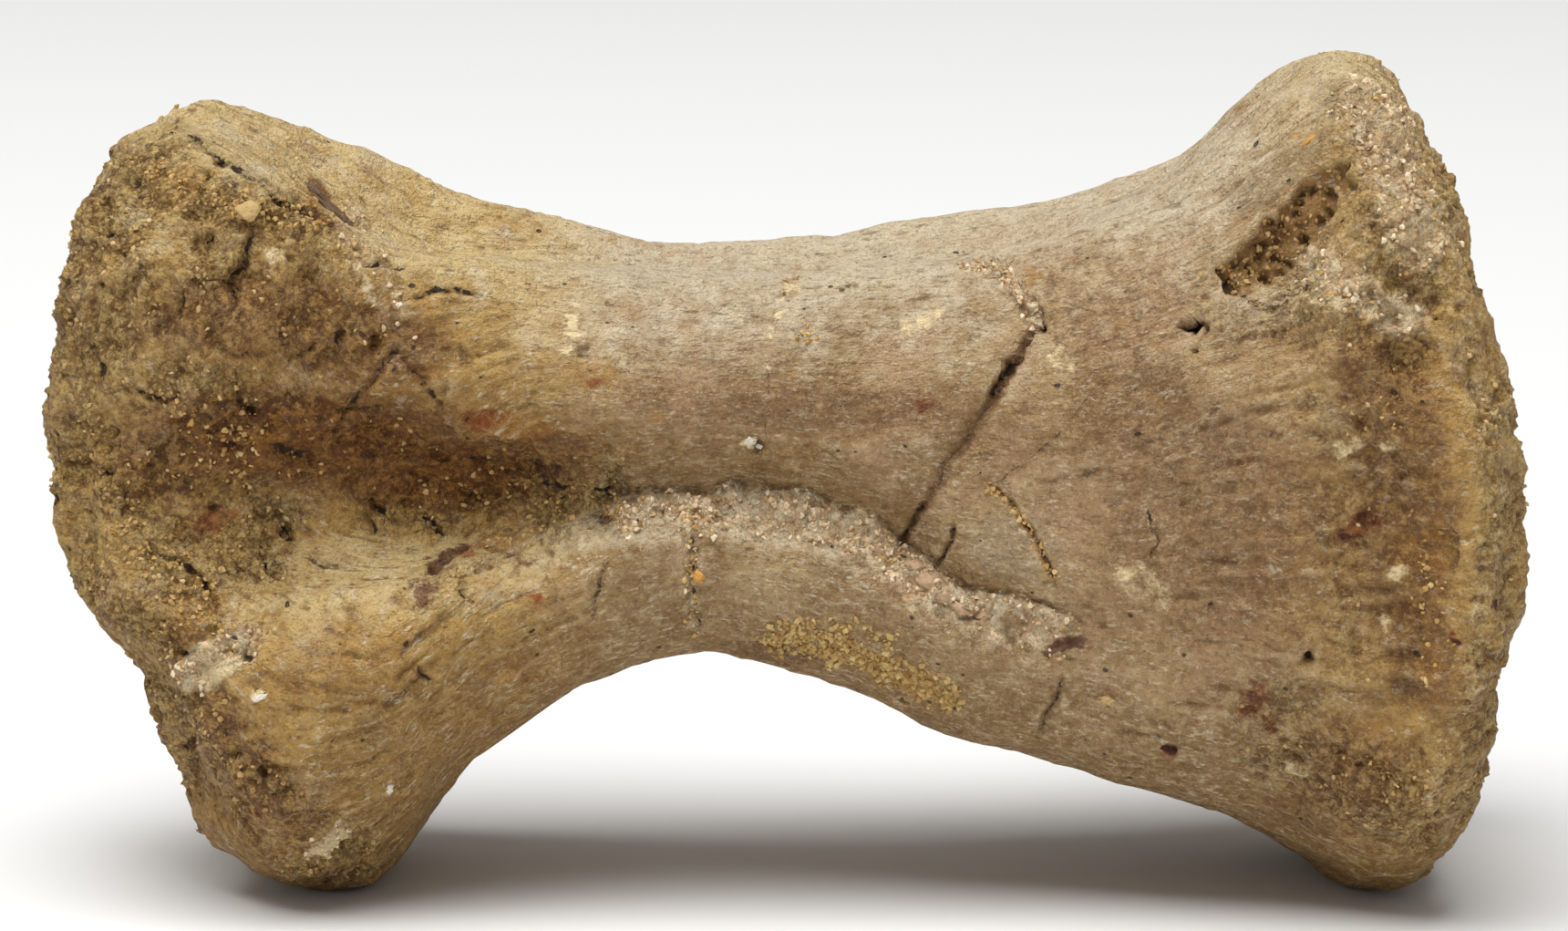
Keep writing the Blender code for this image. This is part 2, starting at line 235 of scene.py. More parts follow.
def readSkin(mesh):
    # All that the relief and the stains are worked out from.
    points, normals = readMesh(mesh)
    sides = {"front": sideOf(points, normals), "rear": sideOf(points, normals, rear=True)}
    return {"points": points, "normals": normals, "sides": sides, "fibre": fibrePlace(points)}


def lineDistance(place, line):
    # Distance in pixels to a line of points, the side of it (positive is below a line drawn left to right),
    # and the share of the line passed.
    best = np.full(len(place), 1e9)
    side, share = np.zeros(len(place)), np.zeros(len(place))
    steps = len(line) - 1
    for i, ((x0, y0), (x1, y1)) in enumerate(zip(line, line[1:])):
        dx, dy = x1 - x0, y1 - y0
        u = np.clip(((place[:, 0] - x0) * dx + (place[:, 1] - y0) * dy) / (dx * dx + dy * dy), 0.0, 1.0)
        ex, ey = place[:, 0] - x0 - u * dx, place[:, 1] - y0 - u * dy
        gap = np.hypot(ex, ey)
        closer = gap < best
        best[closer] = gap[closer]
        side[closer] = np.sign(dx * ey - dy * ex)[closer]
        share[closer] = (i + u[closer]) / steps
    return best, side, share


def insideOf(place, corners):
    inside = np.zeros(len(place), dtype=bool)
    for (x0, y0), (x1, y1) in zip(corners, corners[1:] + corners[:1]):
        crosses = (y0 > place[:, 1]) != (y1 > place[:, 1])
        at = x0 + (place[:, 1] - y0) / ((y1 - y0) or 1e-9) * (x1 - x0)
        inside ^= crosses & (place[:, 0] < at)
    return inside


def nearLines(place, line, reach):
    low, high = np.min(line, axis=0) - reach, np.max(line, axis=0) + reach
    return np.flatnonzero(np.all((place > low) & (place < high), axis=1))


def strokeMask(side, strokes):
    # The strongest of several soft strokes: points, half width in pixels, strength.
    mask = np.zeros(len(side["place"]))
    for line, width, strength in strokes:
        chosen = nearLines(side["ragged"], line, 1.6 * width)
        gap, _, _ = lineDistance(side["ragged"][chosen], line)
        mask[chosen] = np.maximum(mask[chosen], strength * softStep(-gap, -1.35 * width, -0.55 * width))
    return mask * side["facing"]


def patchMask(side, patches):
    # The strongest of several soft ovals: x, y, half width, half height, turn, strength.
    mask = np.zeros(len(side["place"]))
    for x, y, wide, high, turn, strength in patches:
        turn = math.radians(turn)
        dx, dy = side["ragged"][:, 0] - x, side["ragged"][:, 1] - y
        across = (dx * math.cos(turn) + dy * math.sin(turn)) / wide
        up = (dy * math.cos(turn) - dx * math.sin(turn)) / high
        mask = np.maximum(mask, strength * softStep(-np.hypot(across, up), -1.25, -0.45))
    return mask * side["facing"]


# Where the surface is rough: crumbly ends, the hollow and the crust. Strokes: points, half width, strength.
roughStrokes = [
    ([(150, 170), (120, 240), (105, 330), (85, 430), (75, 530), (110, 610), (190, 680)], 62, 1.0),
    ([(170, 200), (260, 225), (340, 245)], 34, 1.0), ([(150, 300), (240, 330), (330, 320)], 70, 0.8),
    ([(130, 480), (190, 550), (280, 590)], 60, 0.85),
    ([(200, 430), (300, 460), (420, 520), (540, 545), (640, 540)], 52, 0.9),
    ([(250, 330), (330, 380), (400, 340)], 50, 0.55),
    ([(190, 740), (235, 820), (300, 890), (380, 960)], 46, 1.0),
    ([(460, 650), (520, 600), (570, 590)], 26, 0.5),
    ([(1530, 100), (1570, 200), (1605, 330), (1645, 430), (1660, 540), (1650, 680), (1630, 800)], 34, 0.62),
    ([(1500, 130), (1530, 220), (1560, 300)], 50, 0.9), ([(1440, 290), (1490, 340), (1540, 380)], 40, 0.9),
    ([(1480, 420), (1500, 560), (1520, 700)], 60, 0.35),
    ([(1400, 800), (1490, 860), (1570, 880)], 56, 0.85), ([(1340, 350), (1420, 340)], 30, 0.4),
    ([(1000, 640), (1060, 670), (1140, 690)], 24, 0.6),
]

# Where the fibres stand in deep furrows.
furrowStrokes = [
    ([(1470, 380), (1500, 560), (1500, 740)], 66, 1.0), ([(1330, 360), (1430, 340)], 40, 0.9),
    ([(1430, 90), (1380, 180), (1250, 250)], 46, 0.7), ([(430, 690), (350, 800), (380, 900)], 76, 0.8),
    ([(580, 340), (500, 400)], 56, 0.6), ([(1350, 600), (1400, 760)], 60, 0.5),
    ([(760, 395), (640, 420)], 40, 0.5), ([(215, 145), (290, 190), (345, 225)], 12, 0.8),
]

# Cracks: points, half width in pixels, depth, how far the left or upper side stands proud.
frontCracks = [
    ([(1138, 338), (1140, 362)], 4.0, 1.0, 0.0), ([(1134, 364), (1124, 384), (1111, 402)], 2.2, 0.5, 0.35),
    ([(1115, 396), (1103, 412), (1098, 427), (1088, 441)], 5.5, 1.1, 0.3),
    ([(1090, 436), (1077, 459), (1060, 484), (1038, 513)], 1.4, 0.22, 0.16),
    ([(1038, 513), (1027, 536), (1012, 555)], 0.8, 0.1, 0.12),
    ([(1014, 552), (1004, 570), (992, 594)], 3.0, 0.7, 0.4),
    ([(1046, 576), (1037, 596), (1023, 620)], 1.8, 0.4, -0.45),
    ([(1046, 283), (1096, 291), (1111, 306), (1138, 337)], 0.9, 0.1, -0.35),
    ([(191, 130), (230, 161), (276, 191), (325, 218), (352, 233)], 2.6, 0.4, 0.4),
    ([(1088, 532), (1107, 551), (1126, 578), (1145, 605), (1157, 635)], 3.2, 0.6, 0.1),
    ([(1088, 532), (1120, 512), (1160, 480), (1196, 430)], 1.6, 0.14, 0.06),
    ([(841, 402), (845, 425), (839, 486)], 0.9, 0.05, 0.09),
    ([(432, 383), (402, 425), (384, 452), (367, 477)], 3.6, 0.6, 0.1),
    ([(425, 379), (447, 402), (468, 430), (484, 450)], 2.2, 0.15, -0.28),
    ([(452, 325), (474, 318), (497, 314), (536, 325)], 3.4, 0.4, 0.12),
    ([(406, 287), (424, 284), (444, 291)], 4.5, 0.6, 0.1),
    ([(279, 253), (272, 275), (268, 295), (262, 318), (256, 340)], 2.8, 0.6, 0.08),
    ([(228, 256), (227, 272)], 4.0, 0.7, 0.0), ([(214, 306), (236, 308), (262, 313)], 2.4, 0.4, 0.12),
    ([(205, 310), (200, 332), (198, 350)], 2.6, 0.4, 0.1), ([(375, 362), (371, 378)], 4.0, 0.8, 0.0),
    ([(411, 368), (408, 384)], 4.0, 0.8, 0.0), ([(352, 378), (330, 392), (318, 400)], 3.0, 0.4, 0.1),
    ([(166, 597), (184, 608), (202, 614), (218, 630), (235, 648)], 4.0, 0.7, 0.12),
    ([(312, 576), (317, 592)], 5.0, 0.9, 0.0), ([(286, 606), (295, 622), (306, 632)], 2.4, 0.5, 0.0),
    ([(338, 612), (356, 620), (374, 618)], 2.2, 0.4, 0.0),
    ([(396, 552), (404, 566), (416, 582)], 2.6, 0.5, 0.1),
    ([(260, 428), (270, 444), (284, 460)], 6.0, 0.7, 0.1),
    ([(302, 492), (322, 500), (348, 506)], 7.0, 0.8, 0.15),
    ([(408, 548), (414, 558), (422, 564)], 5.0, 0.9, 0.1),
    ([(462, 566), (474, 572), (484, 580)], 5.0, 0.7, 0.1),
    ([(596, 530), (610, 536), (628, 536)], 5.0, 0.6, 0.1),
    ([(650, 538), (660, 543), (672, 542)], 4.0, 0.6, 0.0),
    ([(220, 470), (236, 486), (262, 494)], 4.0, 0.5, 0.15),
    ([(352, 440), (384, 452), (420, 448)], 2.6, 0.4, 0.12),
    ([(150, 430), (176, 442), (196, 436)], 3.0, 0.5, 0.15),
    ([(96, 380), (112, 402), (108, 430)], 3.0, 0.5, 0.1),
    ([(470, 500), (500, 512), (540, 508)], 2.6, 0.4, 0.1),
    ([(240, 380), (262, 392), (296, 388)], 2.6, 0.4, 0.12),
    ([(80, 508), (100, 512), (122, 518)], 4.0, 0.6, 0.1),
    ([(136, 540), (142, 552), (138, 566)], 3.2, 0.5, 0.0),
    ([(667, 610), (660, 632), (656, 650), (648, 684)], 1.5, 0.35, 0.1),
    ([(762, 560), (759, 600), (760, 640), (767, 690)], 1.6, 0.4, 0.08),
    ([(1165, 747), (1158, 768), (1150, 784), (1138, 808)], 2.0, 0.5, 0.06),
    ([(800, 705), (840, 706), (880, 708)], 2.0, 0.3, 0.16),
    ([(506, 640), (512, 652), (520, 660)], 2.4, 0.4, 0.0),
    ([(458, 734), (466, 744), (474, 752)], 3.0, 0.4, 0.0),
    ([(1260, 560), (1268, 590), (1262, 610)], 2.6, 0.3, 0.1),
    ([(1333, 293), (1352, 312), (1370, 326)], 2.6, 0.3, -0.25),
    ([(1370, 326), (1400, 318), (1428, 306)], 2.6, 0.35, -0.3),
]
rearCracks = [
    ([(520, 300), (540, 380), (528, 460), (548, 540)], 3.0, 0.5, 0.15),
    ([(900, 270), (960, 350), (980, 450), (1040, 540), (1050, 640)], 3.4, 0.6, 0.2),
    ([(1230, 380), (1300, 430), (1340, 520)], 2.6, 0.4, 0.1),
    ([(300, 640), (360, 700), (380, 780)], 2.6, 0.4, 0.1),
    ([(240, 260), (300, 300), (390, 310)], 2.6, 0.4, 0.1),
]

# Holes: x, y, radius in pixels, depth.
frontHoles = [
    (1300, 357, 9, 1.2), (1310, 352, 7, 1.0), (1322, 356, 4, 0.5), (1306, 385, 5, 0.5), (120, 474, 7, 0.6),
    (232, 560, 5, 0.5), (190, 718, 4, 0.5), (200, 719, 5, 0.6), (264, 715, 5, 0.5), (991, 771, 5, 0.9),
    (640, 384, 10, 0.35), (830, 490, 8, 0.5), (1195, 519, 12, 0.35), (1437, 724, 6, 0.8),
    (1284, 826, 5, 0.5), (1576, 350, 4, 0.9), (214, 310, 4, 0.4), (104, 318, 6, 0.5), (122, 254, 8, 0.5),
    (148, 196, 9, 0.5), (226, 190, 7, 0.5), (241, 176, 6, 0.5), (1350, 305, 9, 0.6), (924, 316, 3, 0.4),
    (928, 310, 3, 0.4), (388, 640, 3, 0.4), (1490, 840, 6, 0.4), (255, 830, 6, 0.5), (204, 822, 7, 0.5),
    (290, 850, 7, 0.4), (178, 744, 4, 0.4),
]
rearHoles = [
    (420, 520, 12, 0.8), (500, 560, 9, 0.7), (1380, 330, 11, 0.9), (700, 420, 6, 0.5), (1180, 600, 6, 0.5),
    (330, 470, 10, 0.7),
]

# The crumbly lip along the crease: its points, and its section.
ledgeLine = [
    (660, 552), (679, 547), (713, 540), (774, 543), (805, 531), (843, 541), (878, 541), (904, 556),
    (927, 564), (958, 568), (981, 588), (1012, 612), (1038, 634), (1069, 650), (1115, 656), (1149, 670),
    (1192, 682),
]
ledgeValues = {"step": 1.0, "reach": 60.0, "lip": 0.45, "lipAt": 16.0, "lipWidth": 15.0,
               "gap": 0.3, "gapAt": -6.0, "gapWidth": 4.0, "loose": 9.0}   # heights in mm, the rest in pixels

# Pale, crumbly crusts elsewhere.
crustStrokes = [
    ([(388, 250), (412, 300), (432, 345)], 22, 0.42), ([(1440, 290), (1500, 330), (1545, 350)], 26, 0.7),
    ([(1060, 285), (1100, 293), (1118, 318), (1130, 345)], 10, 0.8),
    ([(1000, 645), (1040, 660), (1085, 672)], 16, 0.9), ([(762, 570), (759, 620), (762, 690)], 6, 0.55),
    ([(210, 738), (240, 718), (262, 702)], 22, 1.0), ([(1500, 110), (1530, 180), (1560, 260)], 40, 0.6),
    ([(345, 940), (375, 915)], 12, 0.8), ([(870, 300), (866, 318)], 9, 0.5),
]

# The spongy pit beside the wide end's crest.
pitCorners = [
    (1333, 293), (1353, 277), (1377, 265), (1397, 237), (1416, 217), (1444, 190), (1476, 174), (1480, 198),
    (1468, 221), (1448, 253), (1428, 277), (1400, 300), (1369, 312), (1345, 316),
]
pitValues = {"sink": 0.6, "holes": 0.8, "cell": 0.85, "ragged": 2.6, "wall": (0.08, 0.55), "dark": 0.4}


def roughMask(skin):
    # Crumbly surface on both sides, and on the two end faces.
    points, normals = skin["points"], skin["normals"]
    mask = softStep(np.abs(normals[:, 0]), 0.55, 0.85) * softStep(np.abs(points[:, 0]), 34.0, 40.0)
    mask *= np.where(points[:, 0] > 0, skinValues["faceRough"][1], skinValues["faceRough"][0])
    for side in skin["sides"].values():
        mask = np.maximum(mask, strokeMask(side, roughStrokes))
    patchy = 0.4 + 0.6 * softStep(noiseAt(points, 4.0, 77, 3), -0.35, 0.15)
    return np.clip(mask * patchy, 0.0, 1.0)


crackValues = {"reach": 30.0, "narrowest": 4.0, "depth": 0.75, "endDepth": 0.35, "stepReach": 9.0,
               "far": 40.0}   # in pixels, but the depths are shares


def crackRelief(side, cracks):
    # The height that cracks take away or raise. Also the signed distance to the nearest one, its opening, and
    # how near it is, which place the painted shade in its gap.
    height = np.zeros(len(side["place"]))
    lines = np.zeros((len(side["place"]), 3))
    lines[:, 0] = crackValues["far"]
    ragged = 0.9 * side["ragged"] + 0.1 * side["place"]
    for line, width, depth, proud in cracks:
        chosen = nearLines(ragged, line, crackValues["reach"])
        gap, face, share = lineDistance(ragged[chosen], line)
        fade = softStep(share, 0.0, 0.08) * softStep(-share, -1.0, -0.92)
        groove = np.exp(-((gap / max(width, crackValues["narrowest"])) ** 2))
        groove *= np.maximum(fade, crackValues["endDepth"])
        step = np.where(face < 0, proud, 0.0) * np.exp(-gap / crackValues["stepReach"])
        height[chosen] += (step * fade - crackValues["depth"] * depth * groove) * side["facing"][chosen]
        closer = gap < np.abs(lines[chosen, 0])
        picked = chosen[closer]
        lines[picked, 0] = (gap * face)[closer]
        lines[picked, 1] = width * (0.5 + 0.5 * fade[closer])
        lines[picked, 2] = (softStep(-gap, -1.9 * width - 4.0, -width - 1.0) * side["facing"][chosen])[closer]
    return height, lines


def holeRelief(side, holes):
    # How dark each hole is painted: painted shade in the bowl.
    height, dark = np.zeros(len(side["place"])), np.zeros(len(side["place"]))
    ragged = 1.5 * side["ragged"] - 0.5 * side["place"]
    for x, y, radius, depth in holes:
        gap = np.hypot(ragged[:, 0] - x, (ragged[:, 1] - y) * 1.3) / radius
        bowl = np.exp(-(gap ** 3)) * side["facing"]
        height -= depth * bowl
        dark = np.maximum(dark, bowl * min(1.0, depth + 0.1))
    return height, dark


def ledgeRelief(side, points):
    # The step below the crease with its lip and the slot above it, and where the crust is crumbly.
    gap, face, share = lineDistance(side["ragged"], ledgeLine)
    gap = gap * face
    loose = gap + ledgeValues["loose"] * noiseAt(points, 2.2, 33, 2)
    ends = softStep(share, 0.0, 0.05) * softStep(-share, -1.0, -0.95) * side["facing"]
    broken = 0.75 + 0.5 * noiseAt(points, 1.5, 31, 2)

    def ridge(name):
        off = (gap - ledgeValues[name + "At"]) / ledgeValues[name + "Width"]
        return ledgeValues[name] * np.exp(-(off ** 2))

    lip = ridge("lip")
    lip += ledgeValues["step"] * softStep(gap, -3.0, 11.0) * np.exp(-((gap / ledgeValues["reach"]) ** 2))
    crumbly = softStep(gap, -4.0, 3.0) * softStep(-loose, -58.0, -18.0) * ends
    crumbly = np.maximum(crumbly, strokeMask(side, crustStrokes))
    return (lip * broken - ridge("gap") * np.clip(broken, 0.4, 1.2)) * ends, crumbly


def pitRelief(side, points):
    # A spongy hollow: sunk as a whole, with open cells between thin walls.
    torn = pitValues["ragged"] * side["ragged"] + (1.0 - pitValues["ragged"]) * side["place"]
    chosen = nearLines(torn, pitCorners, 12.0)
    inside = insideOf(torn[chosen], pitCorners)
    gap, _, _ = lineDistance(torn[chosen], pitCorners + pitCorners[:1])
    mask = np.zeros(len(side["place"]))
    mask[chosen] = softStep(np.where(inside, gap, -gap), -2.0, 9.0) * side["facing"][chosen]
    height = -pitValues["sink"] * mask
    bent = points[chosen] + 0.5 * noiseVectors(points[chosen], 1.1, 81)
    near, following, _ = cellsAt(bent, pitValues["cell"], 41)
    opening = softStep(following - near, *pitValues["wall"])
    height[chosen] -= pitValues["holes"] * opening * mask[chosen] ** 2
    # How dark the open cells are painted: painted shade in them.
    dark = np.zeros(len(mask))
    dark[chosen] = opening * mask[chosen]
    return height, mask, dark


def carveSkin(mesh):
    # All the relief, in two passes so that the small forms stand square on the large ones.
    skin = readSkin(mesh)
    points, normals = skin["points"], skin["normals"]
    rough = roughMask(skin)
    front, rear = skin["sides"]["front"], skin["sides"]["rear"]
    ledge, lip = ledgeRelief(front, points)
    pit, pitMask, pitDark = pitRelief(front, points)
    height = pit
    for number, (size, smoothHeight, roughHeight) in enumerate(skinValues["lumps"]):
        height += (smoothHeight + (roughHeight - smoothHeight) * rough) * noiseAt(points, size, 5 + number, 2)
    rough = np.clip(np.maximum(rough, 0.9 * lip), 0.0, 1.0)
    height += lip * sum(tall * noiseAt(points, size, seed, octaves)
                        for size, seed, octaves, tall in skinValues["lipLumps"])
    some = np.flatnonzero(rough > 0.02)
    bent = points[some] + 0.35 * noiseVectors(points[some], 0.9, 51)
    for number, (size, tall) in enumerate(skinValues["crumbs"]):
        near, following, chance = cellsAt(bent, size, 9 + number)
        patchy = 0.35 + 0.65 * softStep(noiseAt(points[some], 3.0 * size, 55 + number), -0.3, 0.4)
        domes = softStep(following - near, 0.0, 0.7) - 0.6 + 0.8 * (chance - 0.5)
        height[some] += tall * patchy * domes * rough[some]
    flakes = skinValues["flakes"]
    spots = skin["fibre"] / np.array(flakes["drawnOut"]) + 0.8 * noiseVectors(points, 2.0, 71, 2)
    near, following, chance = cellsAt(spots, flakes["size"], 17)
    plates = (chance - 0.5) * softStep(following - near, 0.0, flakes["edge"])
    height += (flakes["height"] + (flakes["roughHeight"] - flakes["height"]) * rough) * plates
    back, _ = viewAxes()
    writePoints(mesh, points + normals * height[:, None] + np.outer(ledge, np.array(back)))
    height += ledge
    print("broad relief carved")

    base, normals = readMesh(mesh)
    wide = skinValues["fibreWidth"]
    stretched = skin["fibre"] / np.array([skinValues["fibreLength"], wide, wide])
    strands = noiseAt(stretched, 1.0, 12, 2)
    flare = softStep(np.abs(points[:, 0] - 3.0), 8.0, 26.0)
    depth, more, lost = skinValues["strands"]
    fine = (depth + more * flare) * -np.abs(strands) * (1 - lost * rough)
    furrows = -np.abs(noiseAt(stretched * np.array([0.7, 0.5, 0.5]), 1.0, 13, 2))
    fine += skinValues["furrows"] * strokeMask(front, furrowStrokes) * furrows
    dark = np.zeros(len(points))
    cracked = []
    for side, cracks, holes in ((front, frontCracks, frontHoles), (rear, rearCracks, rearHoles)):
        cut, lines = crackRelief(side, cracks)
        sunk, sunkDark = holeRelief(side, holes)
        fine += cut + sunk
        dark = np.maximum(dark, sunkDark)
        cracked.append(lines)
    writePoints(mesh, base + normals * fine[:, None])
    links = meshLinks(mesh)
    total = height + fine
    relief = 0.5
    for passes, strength in skinValues["relief"]:
        relief = relief + strength * (total - blurred(total, links, passes))
    cracked = np.where((cracked[0][:, 2] >= cracked[1][:, 2])[:, None], cracked[0], cracked[1])
    skin.update(rough=rough, lip=lip, pit=pitMask, dark=np.maximum(dark, pitValues["dark"] * pitDark),
                cracked=cracked, skyward=blurred(skin["normals"][:, 2], links, skinValues["skyBlur"]),
                relief=np.clip(relief, 0.0, 1.0))
    print("fine relief carved")
    return skin


# Stains and finishes on the front; the brown patches also paint shade in the hollow, under the shaft and over
# the right middle. Patches: x, y, half width, half height, turn, strength.
frontPatches = {
    "creamAndGlint": [
        # On the wide end, the small patches near x 1470 to 1530 and y 490 to 690 paint glints; the others are
        # pale stains.
        (237, 725, 34, 26, -20, 0.6), (225, 748, 18, 16, 0, 0.5), (1450, 318, 40, 22, 20, 0.4),
        (1500, 330, 44, 30, 10, 0.35), (305, 280, 18, 14, 0, 0.5), (1012, 352, 40, 12, -15, 0.45),
        (370, 922, 14, 11, -30, 0.8), (352, 938, 18, 8, -20, 0.6), (870, 312, 10, 9, 0, 0.4),
        (140, 230, 34, 22, -20, 0.35), (1200, 300, 34, 20, -20, 0.3), (824, 487, 9, 7, 0, 0.8),
        (282, 762, 11, 5, -20, 0.8), (430, 866, 7, 9, 0, 0.5), (1160, 390, 30, 18, 20, 0.35),
        (1520, 685, 12, 16, 0, 0.5), (1530, 630, 18, 12, 0, 0.5), (1470, 500, 12, 10, 0, 0.4),
        (1420, 850, 24, 8, 40, 0.5), (1520, 300, 50, 50, 30, 0.25), (1480, 490, 26, 14, -20, 0.42),
        (1524, 490, 22, 10, 0, 0.42), (930, 560, 30, 10, 20, 0.35), (1250, 640, 60, 26, 40, 0.35),
        (1260, 560, 14, 40, 0, 0.3), (640, 585, 40, 12, 0, 0.35),
    ],
    "ochre": [
        (800, 490, 230, 36, 0, 0.3), (195, 215, 40, 22, 20, 0.7), (300, 235, 44, 12, 25, 0.9),
        (650, 410, 44, 20, 0, 0.55), (560, 470, 60, 22, 0, 0.6), (215, 660, 46, 34, 30, 0.8),
        (560, 590, 40, 14, -20, 0.7), (940, 720, 46, 14, 20, 0.8), (1000, 748, 40, 14, 20, 0.8),
        (868, 412, 14, 10, 0, 0.6), (722, 460, 9, 8, 0, 0.7), (590, 660, 20, 22, 0, 0.5),
        (555, 745, 18, 12, -20, 0.6), (1575, 600, 18, 60, 0, 0.4), (1545, 610, 30, 26, 0, 0.5),
        (1590, 470, 14, 60, 0, 0.3), (1570, 740, 22, 46, 0, 0.4), (1500, 820, 60, 40, -30, 0.4),
        (1430, 250, 50, 26, -45, 0.7), (1520, 200, 30, 20, 0, 0.35), (1420, 150, 12, 8, 0, 0.6),
        (767, 632, 6, 5, 0, 1.0), (480, 410, 40, 14, 0, 0.4), (1130, 300, 22, 14, 40, 0.5),
        (760, 280, 60, 10, 0, 0.3), (560, 240, 60, 20, 20, 0.4), (700, 265, 60, 14, 0, 0.35),
        (280, 160, 60, 18, 30, 0.3), (520, 640, 50, 22, -20, 0.35),
    ],
    "rust": [
        (530, 462, 36, 15, 0, 0.5), (233, 571, 46, 22, -10, 0.42), (520, 600, 20, 9, -30, 0.5),
        (1017, 444, 17, 15, 0, 0.62), (1490, 580, 38, 20, -20, 0.5), (1376, 770, 22, 32, 30, 0.5),
        (1392, 798, 10, 12, 0, 0.55), (1645, 664, 6, 10, 0, 0.8), (1594, 702, 10, 12, 0, 0.7),
        (652, 418, 12, 12, 0, 0.5), (588, 655, 14, 10, 0, 0.6), (1216, 764, 12, 8, 0, 0.5),
        (1284, 828, 12, 9, 30, 0.7), (283, 893, 8, 6, 0, 0.6), (340, 585, 18, 8, 0, 0.3),
        (880, 410, 6, 4, 0, 0.5), (1340, 700, 10, 5, 0, 0.5), (1560, 415, 12, 10, 0, 0.5),
        (110, 650, 26, 10, 30, 0.4), (576, 745, 12, 8, 0, 0.5),
    ],
    "purple": [
        (470, 644, 18, 14, 0, 0.58), (463, 655, 12, 10, 0, 0.55), (570, 610, 22, 8, 20, 0.5),
        (576, 313, 6, 8, 0, 0.6), (1172, 706, 30, 10, -10, 0.7), (1150, 716, 8, 5, 0, 0.8),
        (1284, 824, 9, 7, 30, 1.0), (1594, 702, 7, 9, 0, 0.9), (1646, 662, 5, 8, 0, 0.9),
        (516, 836, 7, 12, 30, 0.9), (1478, 590, 12, 6, 0, 0.6), (1372, 766, 6, 9, 0, 0.6),
        (600, 520, 26, 10, 0, 0.5), (560, 500, 30, 14, 0, 0.35), (250, 800, 24, 20, 30, 0.35),
        (480, 690, 40, 6, -10, 0.4),
    ],
    "grey": [
        (1400, 190, 90, 26, -38, 0.6), (1380, 350, 60, 30, -20, 0.5), (340, 300, 44, 40, 0, 0.45),
        (500, 350, 50, 20, 0, 0.4), (760, 395, 90, 16, 0, 0.4), (1250, 400, 60, 30, 0, 0.4),
        (1340, 480, 90, 60, 0, 0.35), (120, 220, 20, 14, 0, 0.4), (520, 660, 60, 22, -15, 0.55),
        (1480, 470, 60, 50, 0, 0.55), (1500, 520, 40, 30, 0, 0.5), (1510, 650, 40, 40, 0, 0.45),
        (1450, 100, 24, 30, 0, 0.5), (330, 560, 50, 20, 0, 0.4), (420, 560, 60, 30, 0, 0.4),
        (1110, 600, 60, 44, 0, 0.65), (400, 800, 50, 60, -40, 0.3), (200, 830, 20, 60, -20, 0.5),
    ],
    "brownAndShade": [
        (1330, 580, 170, 170, 0, 0.4), (370, 725, 120, 60, -10, 0.27), (1240, 440, 110, 80, 0, 0.35),
        (330, 480, 190, 60, 0, 1.0), (470, 520, 150, 46, 0, 1.0), (600, 500, 60, 34, 0, 0.7),
        (200, 500, 110, 60, 0, 0.6), (290, 350, 150, 60, 0, 0.55), (400, 380, 110, 60, 0, 0.6),
        (1540, 560, 70, 220, 0, 0.55), (1480, 840, 90, 60, -30, 0.4), (1400, 262, 60, 24, -45, 0.9),
        (900, 448, 200, 34, 0, 0.4), (740, 440, 110, 34, 0, 0.3), (1200, 330, 130, 90, 20, 0.35),
        (1380, 380, 60, 34, 0, 0.3), (260, 850, 60, 90, -30, 0.4), (850, 720, 70, 14, 5, 0.5),
        (1000, 790, 60, 14, 20, 0.3), (1100, 490, 40, 90, 30, 0.3), (1430, 900, 60, 20, 20, 0.4),
    ],
}
frontStrokes = {
    "creamAndGlint": [
        ([(633, 333), (626, 360), (622, 392)], 2.5, 0.8), ([(866, 306), (850, 360), (842, 404)], 2.5, 0.7),
        ([(1610, 330), (1632, 440), (1640, 560), (1630, 680), (1608, 790), (1580, 880)], 22, 0.26),
        ([(1500, 60), (1540, 140), (1575, 230), (1600, 320)], 30, 0.24),
    ],
    "ochre": [
        ([(172, 191), (230, 215), (300, 240), (344, 240)], 16, 0.7),
        ([(1088, 532), (1107, 551), (1126, 578), (1157, 635)], 7, 0.7),
        ([(660, 520), (610, 560), (540, 585)], 20, 0.5),
    ],
    "rust": [],
    "purple": [
        ([(474, 620), (492, 608), (510, 596)], 7, 0.6),
    ],
    "grey": [
        ([(191, 130), (230, 161), (276, 191), (325, 218), (352, 233)], 8, 1.0),
        ([(346, 205), (362, 232), (379, 249)], 8, 0.7),
    ],
    "brownAndShade": [
        ([(1138, 345), (1096, 425), (1010, 560), (992, 594)], 7, 0.6),
        ([(346, 205), (362, 232), (379, 249)], 10, 0.8),
        ([(1500, 400), (1530, 520), (1545, 640), (1560, 740)], 42, 0.55),
        ([(200, 700), (250, 800), (330, 900)], 22, 0.5),
    ],
}
